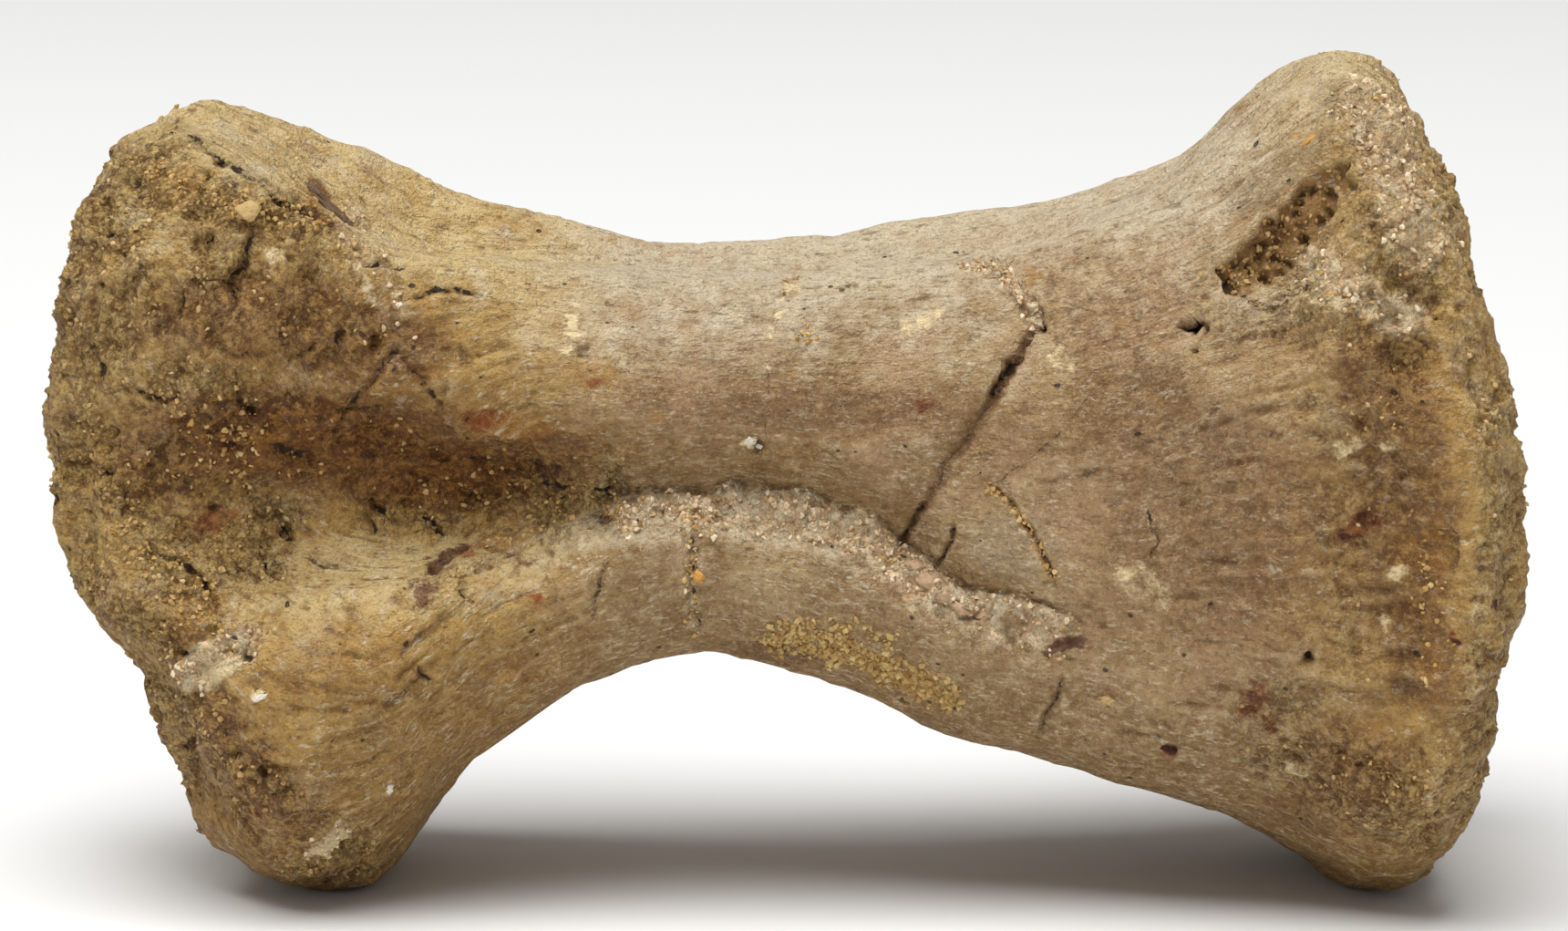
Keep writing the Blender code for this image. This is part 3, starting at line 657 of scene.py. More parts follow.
rearPatches = {
    "creamAndGlint": [
        (500, 620, 60, 30, 0, 0.6), (1200, 420, 70, 40, 0, 0.5), (820, 500, 90, 24, 0, 0.4),
        (300, 760, 30, 24, 0, 0.8),
    ],
    "ochre": [
        (360, 330, 90, 40, 0, 0.7), (1450, 600, 60, 160, 0, 0.5), (980, 640, 80, 26, 20, 0.6),
        (640, 360, 70, 30, 0, 0.4),
    ],
    "rust": [
        (700, 500, 24, 10, 0, 0.8), (1300, 700, 16, 20, 30, 0.8), (420, 420, 20, 12, 0, 0.7),
    ],
    "purple": [
        (560, 600, 20, 8, 0, 0.8), (1240, 560, 12, 12, 0, 0.7), (330, 850, 20, 14, 0, 0.6),
    ],
    "grey": [
        (1100, 420, 120, 60, 0, 0.5), (500, 420, 120, 50, 0, 0.5), (1400, 250, 70, 50, -30, 0.6),
    ],
    "brownAndShade": [
        (380, 500, 180, 60, 0, 0.9), (1540, 520, 60, 200, 0, 0.6), (800, 640, 200, 40, 0, 0.3),
    ],
}


def paintSkin(skin):
    # The share of each finish at each point: the brown share is stain and painted shade, the cream share
    # stain and painted glints.
    patchShares = {}
    for kind, patches in frontPatches.items():
        front = np.maximum(patchMask(skin["sides"]["front"], patches),
                           strokeMask(skin["sides"]["front"], frontStrokes[kind]))
        patchShares[kind] = np.maximum(front, patchMask(skin["sides"]["rear"], rearPatches[kind]))
    return patchShares


def storeShares(mesh, name, shares):
    # Up to three shares, packed as one colour attribute.
    data = np.ones((len(mesh.vertices), 4), dtype=np.float32)
    for i, share in enumerate(shares):
        data[:, i] = share
    mesh.attributes.new(name, "FLOAT_COLOR", "POINT").data.foreach_set("color", data.ravel())


def thinned(mesh, rearward):
    # The dense mesh with fewer triangles: the rear is thinned first, so the front keeps most of them.
    for most, onlyRear in ((skinValues["rearTriangles"], True), (skinValues["mostTriangles"], False)):
        holder = addObject("thinning", mesh)
        mesh.calc_loop_triangles()
        count = len(mesh.loop_triangles)
        fewer = holder.modifiers.new("fewer", "DECIMATE")
        if onlyRear:
            holder.vertex_groups.new(name="rearward").add(np.flatnonzero(rearward).tolist(), 1.0, "REPLACE")
            fewer.vertex_group = "rearward"
            most += int(count * (1.0 - rearward.mean()))
        fewer.ratio = min(1.0, most / count)
        mesh = bakedMesh(holder)
    return mesh


def keptNear(points, spare):
    # Points kept within reach of the solid's box, and above the floor.
    low, high = np.array(cadBox) / mm
    points = np.clip(points, low - spare, high + spare)
    points[:, 2] = np.maximum(points[:, 2], 0.0)
    return points


def nearest(fromPoints, toPoints):
    tree = kdtree.KDTree(len(fromPoints))
    for i, point in enumerate(fromPoints.tolist()):
        tree.insert(point, i)
    tree.balance()
    return np.array([tree.find(point)[1] for point in toPoints.tolist()])


def buildBone(material):
    dense = denseSkin()
    print("dense skin:", len(dense.vertices), "points")
    skin = carveSkin(dense)
    patchShares = paintSkin(skin)
    carved, _ = readMesh(dense)
    mesh = thinned(dense, skin["sides"]["front"]["facing"] < skinValues["rearFacing"])
    points = keptNear(readMesh(mesh)[0], skinValues["spare"])
    writePoints(mesh, points)
    source = nearest(carved, points)
    for name, shares in (("warmShares", (patchShares["creamAndGlint"], patchShares["ochre"], patchShares["rust"])),
                         ("coolShares", (patchShares["purple"], patchShares["grey"], patchShares["brownAndShade"])),
                         ("surface", (skin["relief"], skin["rough"], skin["dark"])),
                         ("cracks", skin["cracked"].T),
                         ("crustAndFacing", (skin["lip"], skin["pit"], skin["skyward"]))):
        storeShares(mesh, name, [share[source] for share in shares])
    fibre = mesh.attributes.new("fibre", "FLOAT_VECTOR", "POINT")
    fibre.data.foreach_set("vector", skin["fibre"][source].astype(np.float32).ravel())
    mesh.shade_smooth()
    mesh.name = "boneSurface"
    mesh.materials.clear()
    mesh.materials.append(material)
    bone = addObject("boneSurface", mesh)
    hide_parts("bone")
    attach(bone, "root")
    print("bone surface:", len(mesh.polygons), "faces")
    return bone


# Materials

def feed(tree, socket, value):
    # Links a socket or sets it. A colour of three numbers gets its alpha.
    if isinstance(value, bpy.types.NodeSocket):
        tree.links.new(value, socket)
    elif socket.type == "RGBA":
        socket.default_value = (*value, 1.0)
    else:
        socket.default_value = value


def addNode(tree, kind, **values):
    # A node with its properties, and its inputs by name, set.
    made = tree.nodes.new(kind)
    inputs = values.pop("inputs", {})
    for name, value in values.items():
        setattr(made, name, value)
    for name, value in inputs.items():
        feed(tree, made.inputs[name], value)
    return made


def mathNode(tree, operation, *values):
    made = addNode(tree, "ShaderNodeMath", operation=operation)
    for socket, value in zip(made.inputs, values):
        feed(tree, socket, value)
    return made.outputs[0]


def times(tree, first, second):
    return mathNode(tree, "MULTIPLY", first, second)


def plus(tree, first, second):
    return mathNode(tree, "ADD", first, second)


def vectorNode(tree, operation, first, second):
    # The second is a scale where the operation is one.
    place = "Scale" if operation == "SCALE" else 1
    made = addNode(tree, "ShaderNodeVectorMath", operation=operation, inputs={0: first, place: second})
    return made.outputs[0]


def mixColour(tree, share, first, second, blend="MIX"):
    made = addNode(tree, "ShaderNodeMix", data_type="RGBA", blend_type=blend)
    for index, value in ((0, share), (6, first), (7, second)):
        feed(tree, made.inputs[index], value)
    return made.outputs[2]


def rangeNode(tree, value, low, high, toLow=0.0, toHigh=1.0):
    inputs = {"Value": value, "From Min": low, "From Max": high, "To Min": toLow, "To Max": toHigh}
    made = addNode(tree, "ShaderNodeMapRange", interpolation_type="SMOOTHSTEP", inputs=inputs)
    return made.outputs["Result"]


def scaledBy(tree, vector, scale):
    return addNode(tree, "ShaderNodeMapping", inputs={"Vector": vector, "Scale": scale}).outputs[0]


def inMillimetres(tree):
    place = addNode(tree, "ShaderNodeTexCoord").outputs["Object"]
    return scaledBy(tree, place, (1 / mm, 1 / mm, 1 / mm))


def noiseNode(tree, vector, scale, detail, roughness=0.5):
    inputs = {"Vector": vector, "Scale": scale, "Detail": detail, "Roughness": roughness}
    return addNode(tree, "ShaderNodeTexNoise", inputs=inputs).outputs


def namedShares(tree, name):
    shares = addNode(tree, "ShaderNodeAttribute", attribute_name=name).outputs["Color"]
    return addNode(tree, "ShaderNodeSeparateColor", inputs={"Color": shares}).outputs


def groupNode(tree, group, vector, values):
    return addNode(tree, "ShaderNodeGroup", node_tree=group, inputs={"Vector": vector, **values}).outputs


def addBump(tree, shader, height, strength, distance):
    inputs = {"Height": height, "Strength": strength, "Distance": distance}
    feed(tree, shader.inputs["Normal"], addNode(tree, "ShaderNodeBump", inputs=inputs).outputs[0])


def newMaterial(name):
    material = bpy.data.materials.new(name)
    material.use_nodes = True
    return material, material.node_tree, material.node_tree.nodes["Principled BSDF"]


def newGroup(name, takes, gives):
    # A shader group that takes a vector and numbers by name, and gives numbers.
    group = bpy.data.node_groups.new(name, "ShaderNodeTree")
    group.interface.new_socket("Vector", in_out="INPUT", socket_type="NodeSocketVector")
    for label, value in takes.items():
        group.interface.new_socket(label, in_out="INPUT", socket_type="NodeSocketFloat").default_value = value
    for label in gives:
        group.interface.new_socket(label, in_out="OUTPUT", socket_type="NodeSocketFloat")
    return group, group.nodes.new("NodeGroupInput").outputs, group.nodes.new("NodeGroupOutput").inputs


def speckleGroup():
    # Fine grain: pale flecks, dark flecks and the height that goes with them.
    group, takes, gives = newGroup("fineSpeckle", {"Size": 0.3, "Pale Share": 0.5, "Dark Share": 0.5},
                                   ("Pale", "Dark", "Height"))
    scale = mathNode(group, "DIVIDE", 1.0, takes["Size"])
    first = noiseNode(group, takes["Vector"], scale, 3.0, 0.65)[0]
    moved = vectorNode(group, "ADD", takes["Vector"], (31.0, -17.0, 11.0))
    second = noiseNode(group, moved, scale, 2.0, 0.6)[0]
    for name, noiseValue, low, high in (("Pale", first, 0.56, 0.72), ("Dark", second, 0.57, 0.73)):
        share = times(group, rangeNode(group, noiseValue, low, high), takes[name + " Share"])
        group.links.new(share, gives[name])
    group.links.new(mathNode(group, "SUBTRACT", first, times(group, second, 0.8)), gives["Height"])
    return group


def poreGroup():
    # Small round or drawn-out pores, a share of the cells only.
    group, takes, gives = newGroup("vesselPores", {"Size": 1.2, "Share": 0.4, "Opening": 0.16}, ("Pores",))
    scale = mathNode(group, "DIVIDE", 1.0, takes["Size"])
    cells = addNode(group, "ShaderNodeTexVoronoi", inputs={"Vector": takes["Vector"], "Scale": scale}).outputs
    chance = addNode(group, "ShaderNodeSeparateColor", inputs={"Color": cells["Color"]}).outputs
    chosen = mathNode(group, "LESS_THAN", chance[0], takes["Share"])
    size = times(group, takes["Opening"], plus(group, chance[1], 0.4))
    edge = mathNode(group, "SUBTRACT", size, cells["Distance"])
    group.links.new(times(group, rangeNode(group, edge, 0.0, 0.05), chosen), gives["Pores"])
    return group


def gritGroup():
    # Cemented grains: a chance tone for each, the gap between them, and their height.
    group, takes, gives = newGroup("cementedGrit", {"Size": 0.5}, ("Tone", "Gap", "Height"))
    scale = mathNode(group, "DIVIDE", 1.0, takes["Size"])
    warp = noiseNode(group, takes["Vector"], times(group, scale, 1.4), 2.0)["Color"]
    push = vectorNode(group, "SUBTRACT", warp, (0.5, 0.5, 0.5))
    push = vectorNode(group, "SCALE", push, times(group, takes["Size"], 1.3))
    bent = vectorNode(group, "ADD", takes["Vector"], push)
    cells = addNode(group, "ShaderNodeTexVoronoi", inputs={"Vector": bent, "Scale": scale}).outputs
    chance = addNode(group, "ShaderNodeSeparateColor", inputs={"Color": cells["Color"]}).outputs
    group.links.new(chance[0], gives["Tone"])
    group.links.new(rangeNode(group, cells["Distance"], 0.45, 0.85), gives["Gap"])
    dome = mathNode(group, "SUBTRACT", 1.0, cells["Distance"])
    group.links.new(times(group, dome, plus(group, chance[1], 0.5)), gives["Height"])
    return group


# Painted light among these: shade for faces turned down, recesses, holes, pores, crack gaps and, with the
# brown stain, the hollow; a sheen with the dust on faces turned up; glints.
boneFinish = {
    "tan": (0.49, 0.325, 0.15), "deepTan": (0.32, 0.185, 0.068), "pinkTan": (0.5, 0.31, 0.16),
    "fibrePale": (0.62, 0.47, 0.28), "fibreDark": (0.17, 0.085, 0.027), "skyDustAndSheen": (0.88, 0.755, 0.54),
    "shaded": (0.28, 0.15, 0.043), "creamAndGlint": (1.0, 0.785, 0.44), "ochre": (0.5, 0.26, 0.065),
    "rustTint": (0.62, 0.28, 0.16), "purpleTint": (0.3, 0.16, 0.17), "grey": (0.25, 0.2, 0.13),
    "brownAndShade": (0.17, 0.095, 0.04), "recessShadeAndDirt": (0.15, 0.07, 0.02), "lipPale": (1.0, 0.81, 0.53),
    "lipDeep": (0.76, 0.5, 0.27), "glazeAndGlint": (0.88, 0.76, 0.56), "goldTint": (1.0, 0.9, 0.58),
    "brownAndShadeTint": (0.68, 0.45, 0.22), "spongy": (0.4, 0.22, 0.075), "crackGapShade": (0.05, 0.026, 0.009),
    "holeShade": (0.03, 0.016, 0.006), "gold": (0.575, 0.37, 0.12), "deepGold": (0.4, 0.235, 0.07),
    "gritDark": (0.29, 0.145, 0.04), "gritPale": (0.78, 0.57, 0.27), "dust": (0.7, 0.53, 0.31),
}

# Noise in the bone's finish: size in millimetres, detail, roughness, shift.
boneNoise = {
    "broad": (9.0, 2.0, 0.6, 1.0), "pink": (6.0, 2.0, 0.6, 4.0), "ends": (3.0, 2.0, 0.65, 31.0),
    "golden": (2.2, 2.0, 0.7, 32.0), "sky": (2.0, 2.0, 0.7, 5.0), "strands": (0.42, 4.0, 0.68, 14.0),
    "grain": (0.5, 4.0, 0.75, 15.0), "torn": (0.9, 3.0, 0.7, 6.0), "fineTorn": (0.35, 2.0, 0.7, 8.0),
    "glazedAndGlinting": (2.0, 3.0, 0.65, 41.0), "flecks": (0.17, 3.0, 0.7, 42.0), "waver": (0.45, 3.0, 0.7, 21.0),
    "opening": (0.8, 2.0, 0.6, 22.0),
}

# Where each effect begins and is full, and what those become, which is 0 and 1 where not given.
boneRanges = {
    "tan": (0.38, 0.62), "pink": (0.48, 0.68), "leftEnd": (-8.0, -19.0), "rightEnd": (27.0, 41.0, 0.0, 0.95),
    "endsBroken": (0.3, 0.5, 0.45, 1.0), "golden": (0.36, 0.62), "shaded": (0.15, -0.75),
    "skyDustAndSheen": (0.35, 1.0, 0.0, 0.85), "darkStrands": (0.47, 0.3), "paleStrands": (0.52, 0.7),
    "stainEdge": (0.3, 0.8), "stained": (0.02, 0.25), "high": (0.54, 0.8), "highBroken": (0.38, 0.6),
    "low": (0.44, 0.1), "darkGrit": (0.35, 0.05), "paleGrit": (0.5, 0.85), "darkGrain": (0.46, 0.32),
    "paleGrain": (0.54, 0.68, 0.0, 0.5), "lipTone": (0.2, 0.8), "lip": (0.15, 0.95),
    "lipGrain": (0.34, 0.5, 0.55, 1.0), "glazedAndGlinting": (0.42, 0.6, 0.15, 1.0), "flecks": (0.52, 0.68, 0.0, 0.85),
    "creamGrain": (0.34, 0.52, 0.65, 1.0),
    "holeShade": (0.25, 0.8), "opening": (0.36, 0.62, -0.35, 0.75), "split": (-0.6, 1.0), "nearCrack": (0.1, 0.4),
    "gloss": (0.35, 0.65, 0.48, 0.76), "glint": (0.58, 0.7),
}

# How strongly each effect shows.
boneAmounts = {
    "gold": 0.85, "skyBroken": 1.2, "roughLoss": 0.7, "darkStrands": 0.75, "paleStrands": 0.7, "brownAndShade": 0.85,
    "grey": 0.45, "ochre": 0.8, "rust": 0.9, "purple": 0.9,
    "brokenPatch": 1.35, "torn": 1.1, "fineTorn": 0.7, "dust": 0.55,
    "lowShadeAndDirt": 0.75, "gritRough": 0.85, "gritPlain": 0.12, "gap": 0.85, "grainRough": 0.4, "grainPlain": 0.42,
    "goldTint": 0.9, "brownAndShadeTint": 0.95, "spongy": 0.8, "lipTorn": 1.7,
    "glazeAndGlintMost": 0.75, "glazeAndGlintBrownLoss": 0.65,
    "waver": 7.0, "pores": 0.85, "glint": 0.25, "specular": 0.45,
    "strandHeight": 0.95, "grainHeightRough": 1.1, "grainHeightPlain": 0.5, "speckleHeight": 0.5,
    "gritHeightRough": 1.2, "gritHeightPlain": 0.12, "poreDepth": 1.6, "bumpDistance": 0.0006,
}
boneGrit = ((0.62, 0.8), (0.3, 0.75))   # size in millimetres, strength
boneFibreScale, bonePoreScale = (0.28, 1.0, 1.0), (0.6, 1.0, 1.0)
boneSpeckle = {"Size": 0.24, "Pale Share": 0.6, "Dark Share": 0.6}
bonePores = {"Size": 0.95, "Share": 0.42, "Opening": 0.1}


def boneMaterial(speckle, pores, grit):
    colours, amounts = boneFinish, boneAmounts
    material, tree, shader = newMaterial("fossilBone")
    inMm = inMillimetres(tree)
    fibre = addNode(tree, "ShaderNodeAttribute", attribute_name="fibre").outputs["Vector"]
    drawn = scaledBy(tree, fibre, boneFibreScale)
    attributes = ("warmShares", "coolShares", "surface", "cracks", "crustAndFacing")
    warm, cool, surface, cracks, crustAndFacing = [namedShares(tree, name) for name in attributes]
    relief, rough, dark = surface[0], surface[1], surface[2]

    def cloud(name, vector=inMm):
        size, detail, roughness, shift = boneNoise[name]
        moved = vectorNode(tree, "ADD", vector, (shift * 17.0, shift * 5.0, shift * -9.0))
        return noiseNode(tree, moved, 1.0 / size, detail, roughness)[0]

    def ranged(name, value):
        return rangeNode(tree, value, *boneRanges[name])

    def scaled(value, name):
        return times(tree, value, amounts[name])

    def centred(value, name):
        return scaled(mathNode(tree, "SUBTRACT", value, 0.5), name)

    def byRough(roughPart, plainPart):
        return plus(tree, scaled(rough, roughPart), amounts[plainPart])

    def lay(share, tint, blend="MIX"):
        # A colour laid over what is there.
        nonlocal colour
        colour = mixColour(tree, share, colour, colours[tint] if isinstance(tint, str) else tint, blend)

    colour = mixColour(tree, ranged("tan", cloud("broad")), colours["deepTan"], colours["tan"])
    lay(ranged("pink", cloud("pink")), "pinkTan")
    alongBone = addNode(tree, "ShaderNodeSeparateXYZ", inputs={"Vector": inMm}).outputs[0]
    ends = mathNode(tree, "MAXIMUM", ranged("leftEnd", alongBone), ranged("rightEnd", alongBone))
    ends = times(tree, ends, ranged("endsBroken", cloud("ends")))
    golden = mixColour(tree, ranged("golden", cloud("golden")), colours["deepGold"], colours["gold"])
    lay(scaled(ends, "gold"), golden)
    # Painted shade on the faces turned down, and dust with a painted sheen on the faces turned up.
    sky = plus(tree, crustAndFacing[2], centred(cloud("sky"), "skyBroken"))
    lay(ranged("shaded", sky), "shaded")
    lay(ranged("skyDustAndSheen", sky), "skyDustAndSheen")
    plain = mathNode(tree, "SUBTRACT", 1.0, scaled(rough, "roughLoss"))
    strands, grain = cloud("strands", drawn), cloud("grain")
    # Dark and pale fibres; the dark ones lie in the grooves of the fibre bump, so they also paint shade
    # there.
    lay(times(tree, ranged("darkStrands", strands), scaled(plain, "darkStrands")), "fibreDark")
    lay(times(tree, ranged("paleStrands", strands), scaled(plain, "paleStrands")), "fibrePale")

    # Stains, each with a broken edge; the brown one also paints shade in the hollow and under the shaft.
    torn = cloud("torn")
    breaks = plus(tree, centred(torn, "torn"), centred(cloud("fineTorn"), "fineTorn"))

    def brokenPatch(share, tint, amount, blend="MIX"):
        edge = mathNode(tree, "MULTIPLY_ADD", share, amounts["brokenPatch"], breaks)
        mask = times(tree, ranged("stainEdge", edge), ranged("stained", share))
        lay(times(tree, mask, amount), tint, blend)

    brokenPatch(cool[2], "brownAndShade", amounts["brownAndShade"])
    brokenPatch(cool[1], "grey", amounts["grey"])
    brokenPatch(warm[1], "ochre", amounts["ochre"])

    # Dust on the high points, painted shade with some dirt in the low ones and between the grits, grit and
    # flecks.
    lay(scaled(times(tree, ranged("high", relief), ranged("highBroken", torn)), "dust"), "dust")
    lay(scaled(ranged("low", relief), "lowShadeAndDirt"), "recessShadeAndDirt")
    grits = []
    for size, strength in boneGrit:
        cells = groupNode(tree, grit, inMm, {"Size": size})
        here = times(tree, byRough("gritRough", "gritPlain"), strength)
        lay(times(tree, ranged("darkGrit", cells["Tone"]), here), "gritDark")
        lay(times(tree, ranged("paleGrit", cells["Tone"]), here), "gritPale")
        lay(scaled(times(tree, cells["Gap"], here), "gap"), "recessShadeAndDirt")
        grits.append(cells)
    coarse = grits[0]
    fine = groupNode(tree, speckle, inMm, boneSpeckle)
    lay(fine["Dark"], "fibreDark")
    lay(fine["Pale"], "dust")
    # Painted shade in the low points of the fine grain, which the bump also sinks.
    lay(times(tree, ranged("darkGrain", grain), byRough("grainRough", "grainPlain")), "recessShadeAndDirt")
    lay(ranged("paleGrain", grain), "dust")
    lay(scaled(ends, "goldTint"), "goldTint", "MULTIPLY")
    # A darker tint multiplied over the brown share, deepening both the brown stains and the painted shade.
    lay(scaled(cool[2], "brownAndShadeTint"), "brownAndShadeTint", "MULTIPLY")
    lay(scaled(crustAndFacing[1], "spongy"), "spongy")

    # The crumbly crust, the glaze of the smooth shaft with painted glints in it, and the marks on top.
    lipTint = mixColour(tree, ranged("lipTone", coarse["Tone"]), colours["lipDeep"], colours["lipPale"])
    lipEdge = plus(tree, crustAndFacing[0], centred(torn, "lipTorn"))
    lay(times(tree, ranged("lip", lipEdge), ranged("lipGrain", grain)), lipTint)
    # A pale film in flecks along the fibres, partly mineral glaze and partly painted glints.
    glazeAndGlint = times(tree, ranged("glazedAndGlinting", cloud("glazedAndGlinting")), ranged("flecks", cloud("flecks", drawn)))
    clean = mathNode(tree, "SUBTRACT", amounts["glazeAndGlintMost"], scaled(cool[2], "glazeAndGlintBrownLoss"))
    lay(times(tree, glazeAndGlint, times(tree, plain, clean)), "glazeAndGlint")
    # Cream stains, with painted glints on the wide end.
    brokenPatch(warm[0], "creamAndGlint", ranged("creamGrain", grain))
    brokenPatch(warm[2], "rustTint", amounts["rust"], "MULTIPLY")
    brokenPatch(cool[0], "purpleTint", amounts["purple"], "MULTIPLY")

    # Painted shade in the holes, the pit's open cells, the crack gaps and the pores.
    lay(ranged("holeShade", dark), "holeShade")
    gap = mathNode(tree, "ABSOLUTE", plus(tree, cracks[0], centred(cloud("waver"), "waver")))
    opening = times(tree, cracks[1], ranged("opening", cloud("opening")))
    split = ranged("split", mathNode(tree, "SUBTRACT", opening, gap))
    lay(times(tree, split, ranged("nearCrack", cracks[2])), "crackGapShade")
    holes = groupNode(tree, pores, scaledBy(tree, fibre, bonePoreScale), bonePores)["Pores"]
    lay(scaled(holes, "pores"), "holeShade")
    tree.links.new(colour, shader.inputs["Base Color"])
    roughness = mathNode(tree, "SUBTRACT", ranged("gloss", torn), scaled(ranged("glint", grain), "glint"))
    tree.links.new(roughness, shader.inputs["Roughness"])
    shader.inputs["Specular IOR Level"].default_value = amounts["specular"]

    height = times(tree, strands, scaled(plain, "strandHeight"))
    for part in (times(tree, grain, byRough("grainHeightRough", "grainHeightPlain")),
                 scaled(fine["Height"], "speckleHeight"),
                 times(tree, coarse["Height"], byRough("gritHeightRough", "gritHeightPlain"))):
        height = plus(tree, height, part)
    height = mathNode(tree, "SUBTRACT", height, scaled(holes, "poreDepth"))
    addBump(tree, shader, height, 1.0, amounts["bumpDistance"])
    return material


grainSpeckle = {"Size": 0.22, "Pale Share": 0.4, "Dark Share": 0.5}
grainRoughness = (-0.1, 0.5, 0.55, 0.85)   # from these heights of the fine speckle to these values
grainBump = (0.8, 0.00012)                 # strength, distance in metres


def grainMaterial(name, colours, speckle):
    # Sand and mineral grains: each grain has its own tone, with fine flecks on it.
    material, tree, shader = newMaterial(name)
    tone = addNode(tree, "ShaderNodeAttribute", attribute_name="grainTone").outputs["Fac"]
    ramp = addNode(tree, "ShaderNodeValToRGB", inputs={"Fac": tone})
    while len(ramp.color_ramp.elements) < len(colours):
        ramp.color_ramp.elements.new(0.5)
    for i, (element, tint) in enumerate(zip(ramp.color_ramp.elements, colours)):
        element.position = i / (len(colours) - 1)
        element.color = (*tint, 1.0)
    fine = groupNode(tree, speckle, inMillimetres(tree), grainSpeckle)
    colour = mixColour(tree, fine["Dark"], ramp.outputs["Color"], boneFinish["fibreDark"])
    colour = mixColour(tree, fine["Pale"], colour, boneFinish["dust"])
    tree.links.new(colour, shader.inputs["Base Color"])
    feed(tree, shader.inputs["Roughness"], rangeNode(tree, fine["Height"], *grainRoughness))
    addBump(tree, shader, fine["Height"], *grainBump)
    return material


# Loose and cemented grains. Where glassy yellow and orange grains sit: points, half width, strength.
ochreStrokes = [
    ([(172, 191), (230, 215), (300, 236), (344, 240)], 16, 0.5),
    ([(1088, 532), (1107, 551), (1126, 578), (1145, 605), (1157, 635)], 5, 0.8),
    ([(140, 600), (210, 640), (270, 690)], 30, 0.4), ([(205, 450), (260, 500), (300, 540)], 30, 0.25),
    ([(600, 560), (640, 548), (670, 552)], 14, 0.8), ([(540, 590), (590, 575)], 12, 0.5),
    ([(885, 360), (885, 370)], 8, 0.8), ([(1430, 250), (1360, 300)], 16, 0.5),
    ([(1575, 590), (1570, 740)], 18, 0.2), ([(757, 560), (760, 700)], 6, 0.5),
    ([(1330, 300), (1350, 300)], 12, 0.8),
]
clumpStrokes = [
    ([(850, 697), (905, 706), (945, 718), (990, 738), (1045, 765)], 15, 1.0),
    ([(880, 700), (960, 712)], 22, 0.6),
]

# Spacing, size in millimetres, most to a square millimetre, and each kind's tones.
grainKinds = {
    "clumpGrains": {
        "spacing": 0.2, "most": 26.0, "smallest": 0.1, "largest": 0.31, "seed": 9,
        "colours": [
            (0.33, 0.18, 0.045), (0.5, 0.33, 0.1), (0.64, 0.47, 0.19), (0.41, 0.24, 0.06),
            (0.56, 0.38, 0.13),
        ],
    },
    "sandCrumbs": {
        "spacing": 0.32, "most": 3.5, "smallest": 0.07, "largest": 0.22, "seed": 3,
        "colours": [
            (0.3, 0.16, 0.045), (0.52, 0.32, 0.11), (0.64, 0.43, 0.17), (0.42, 0.25, 0.08),
            (0.74, 0.54, 0.26),
        ],
    },
    "lipCrumbs": {
        "spacing": 0.26, "most": 8.0, "smallest": 0.08, "largest": 0.25, "seed": 5,
        "colours": [
            (0.55, 0.35, 0.17), (0.78, 0.58, 0.36), (0.9, 0.74, 0.52), (0.66, 0.45, 0.25),
        ],
    },
    "ochreGrains": {
        "spacing": 0.2, "most": 22.0, "smallest": 0.08, "largest": 0.24, "seed": 7,
        "colours": [
            (0.42, 0.24, 0.06), (0.58, 0.36, 0.11), (0.7, 0.5, 0.22), (0.5, 0.27, 0.06),
        ],
    },
}

grainForm = {
    "least": (0.65, 0.65, 0.5), "most": (1.35, 1.2, 1.0),   # how flat or long a grain may be
    "dentScale": 3400.0, "dentDepth": 0.0005,               # per metre, metres
    "spare": 0.4,                                           # how far grains may leave the solid's box
}


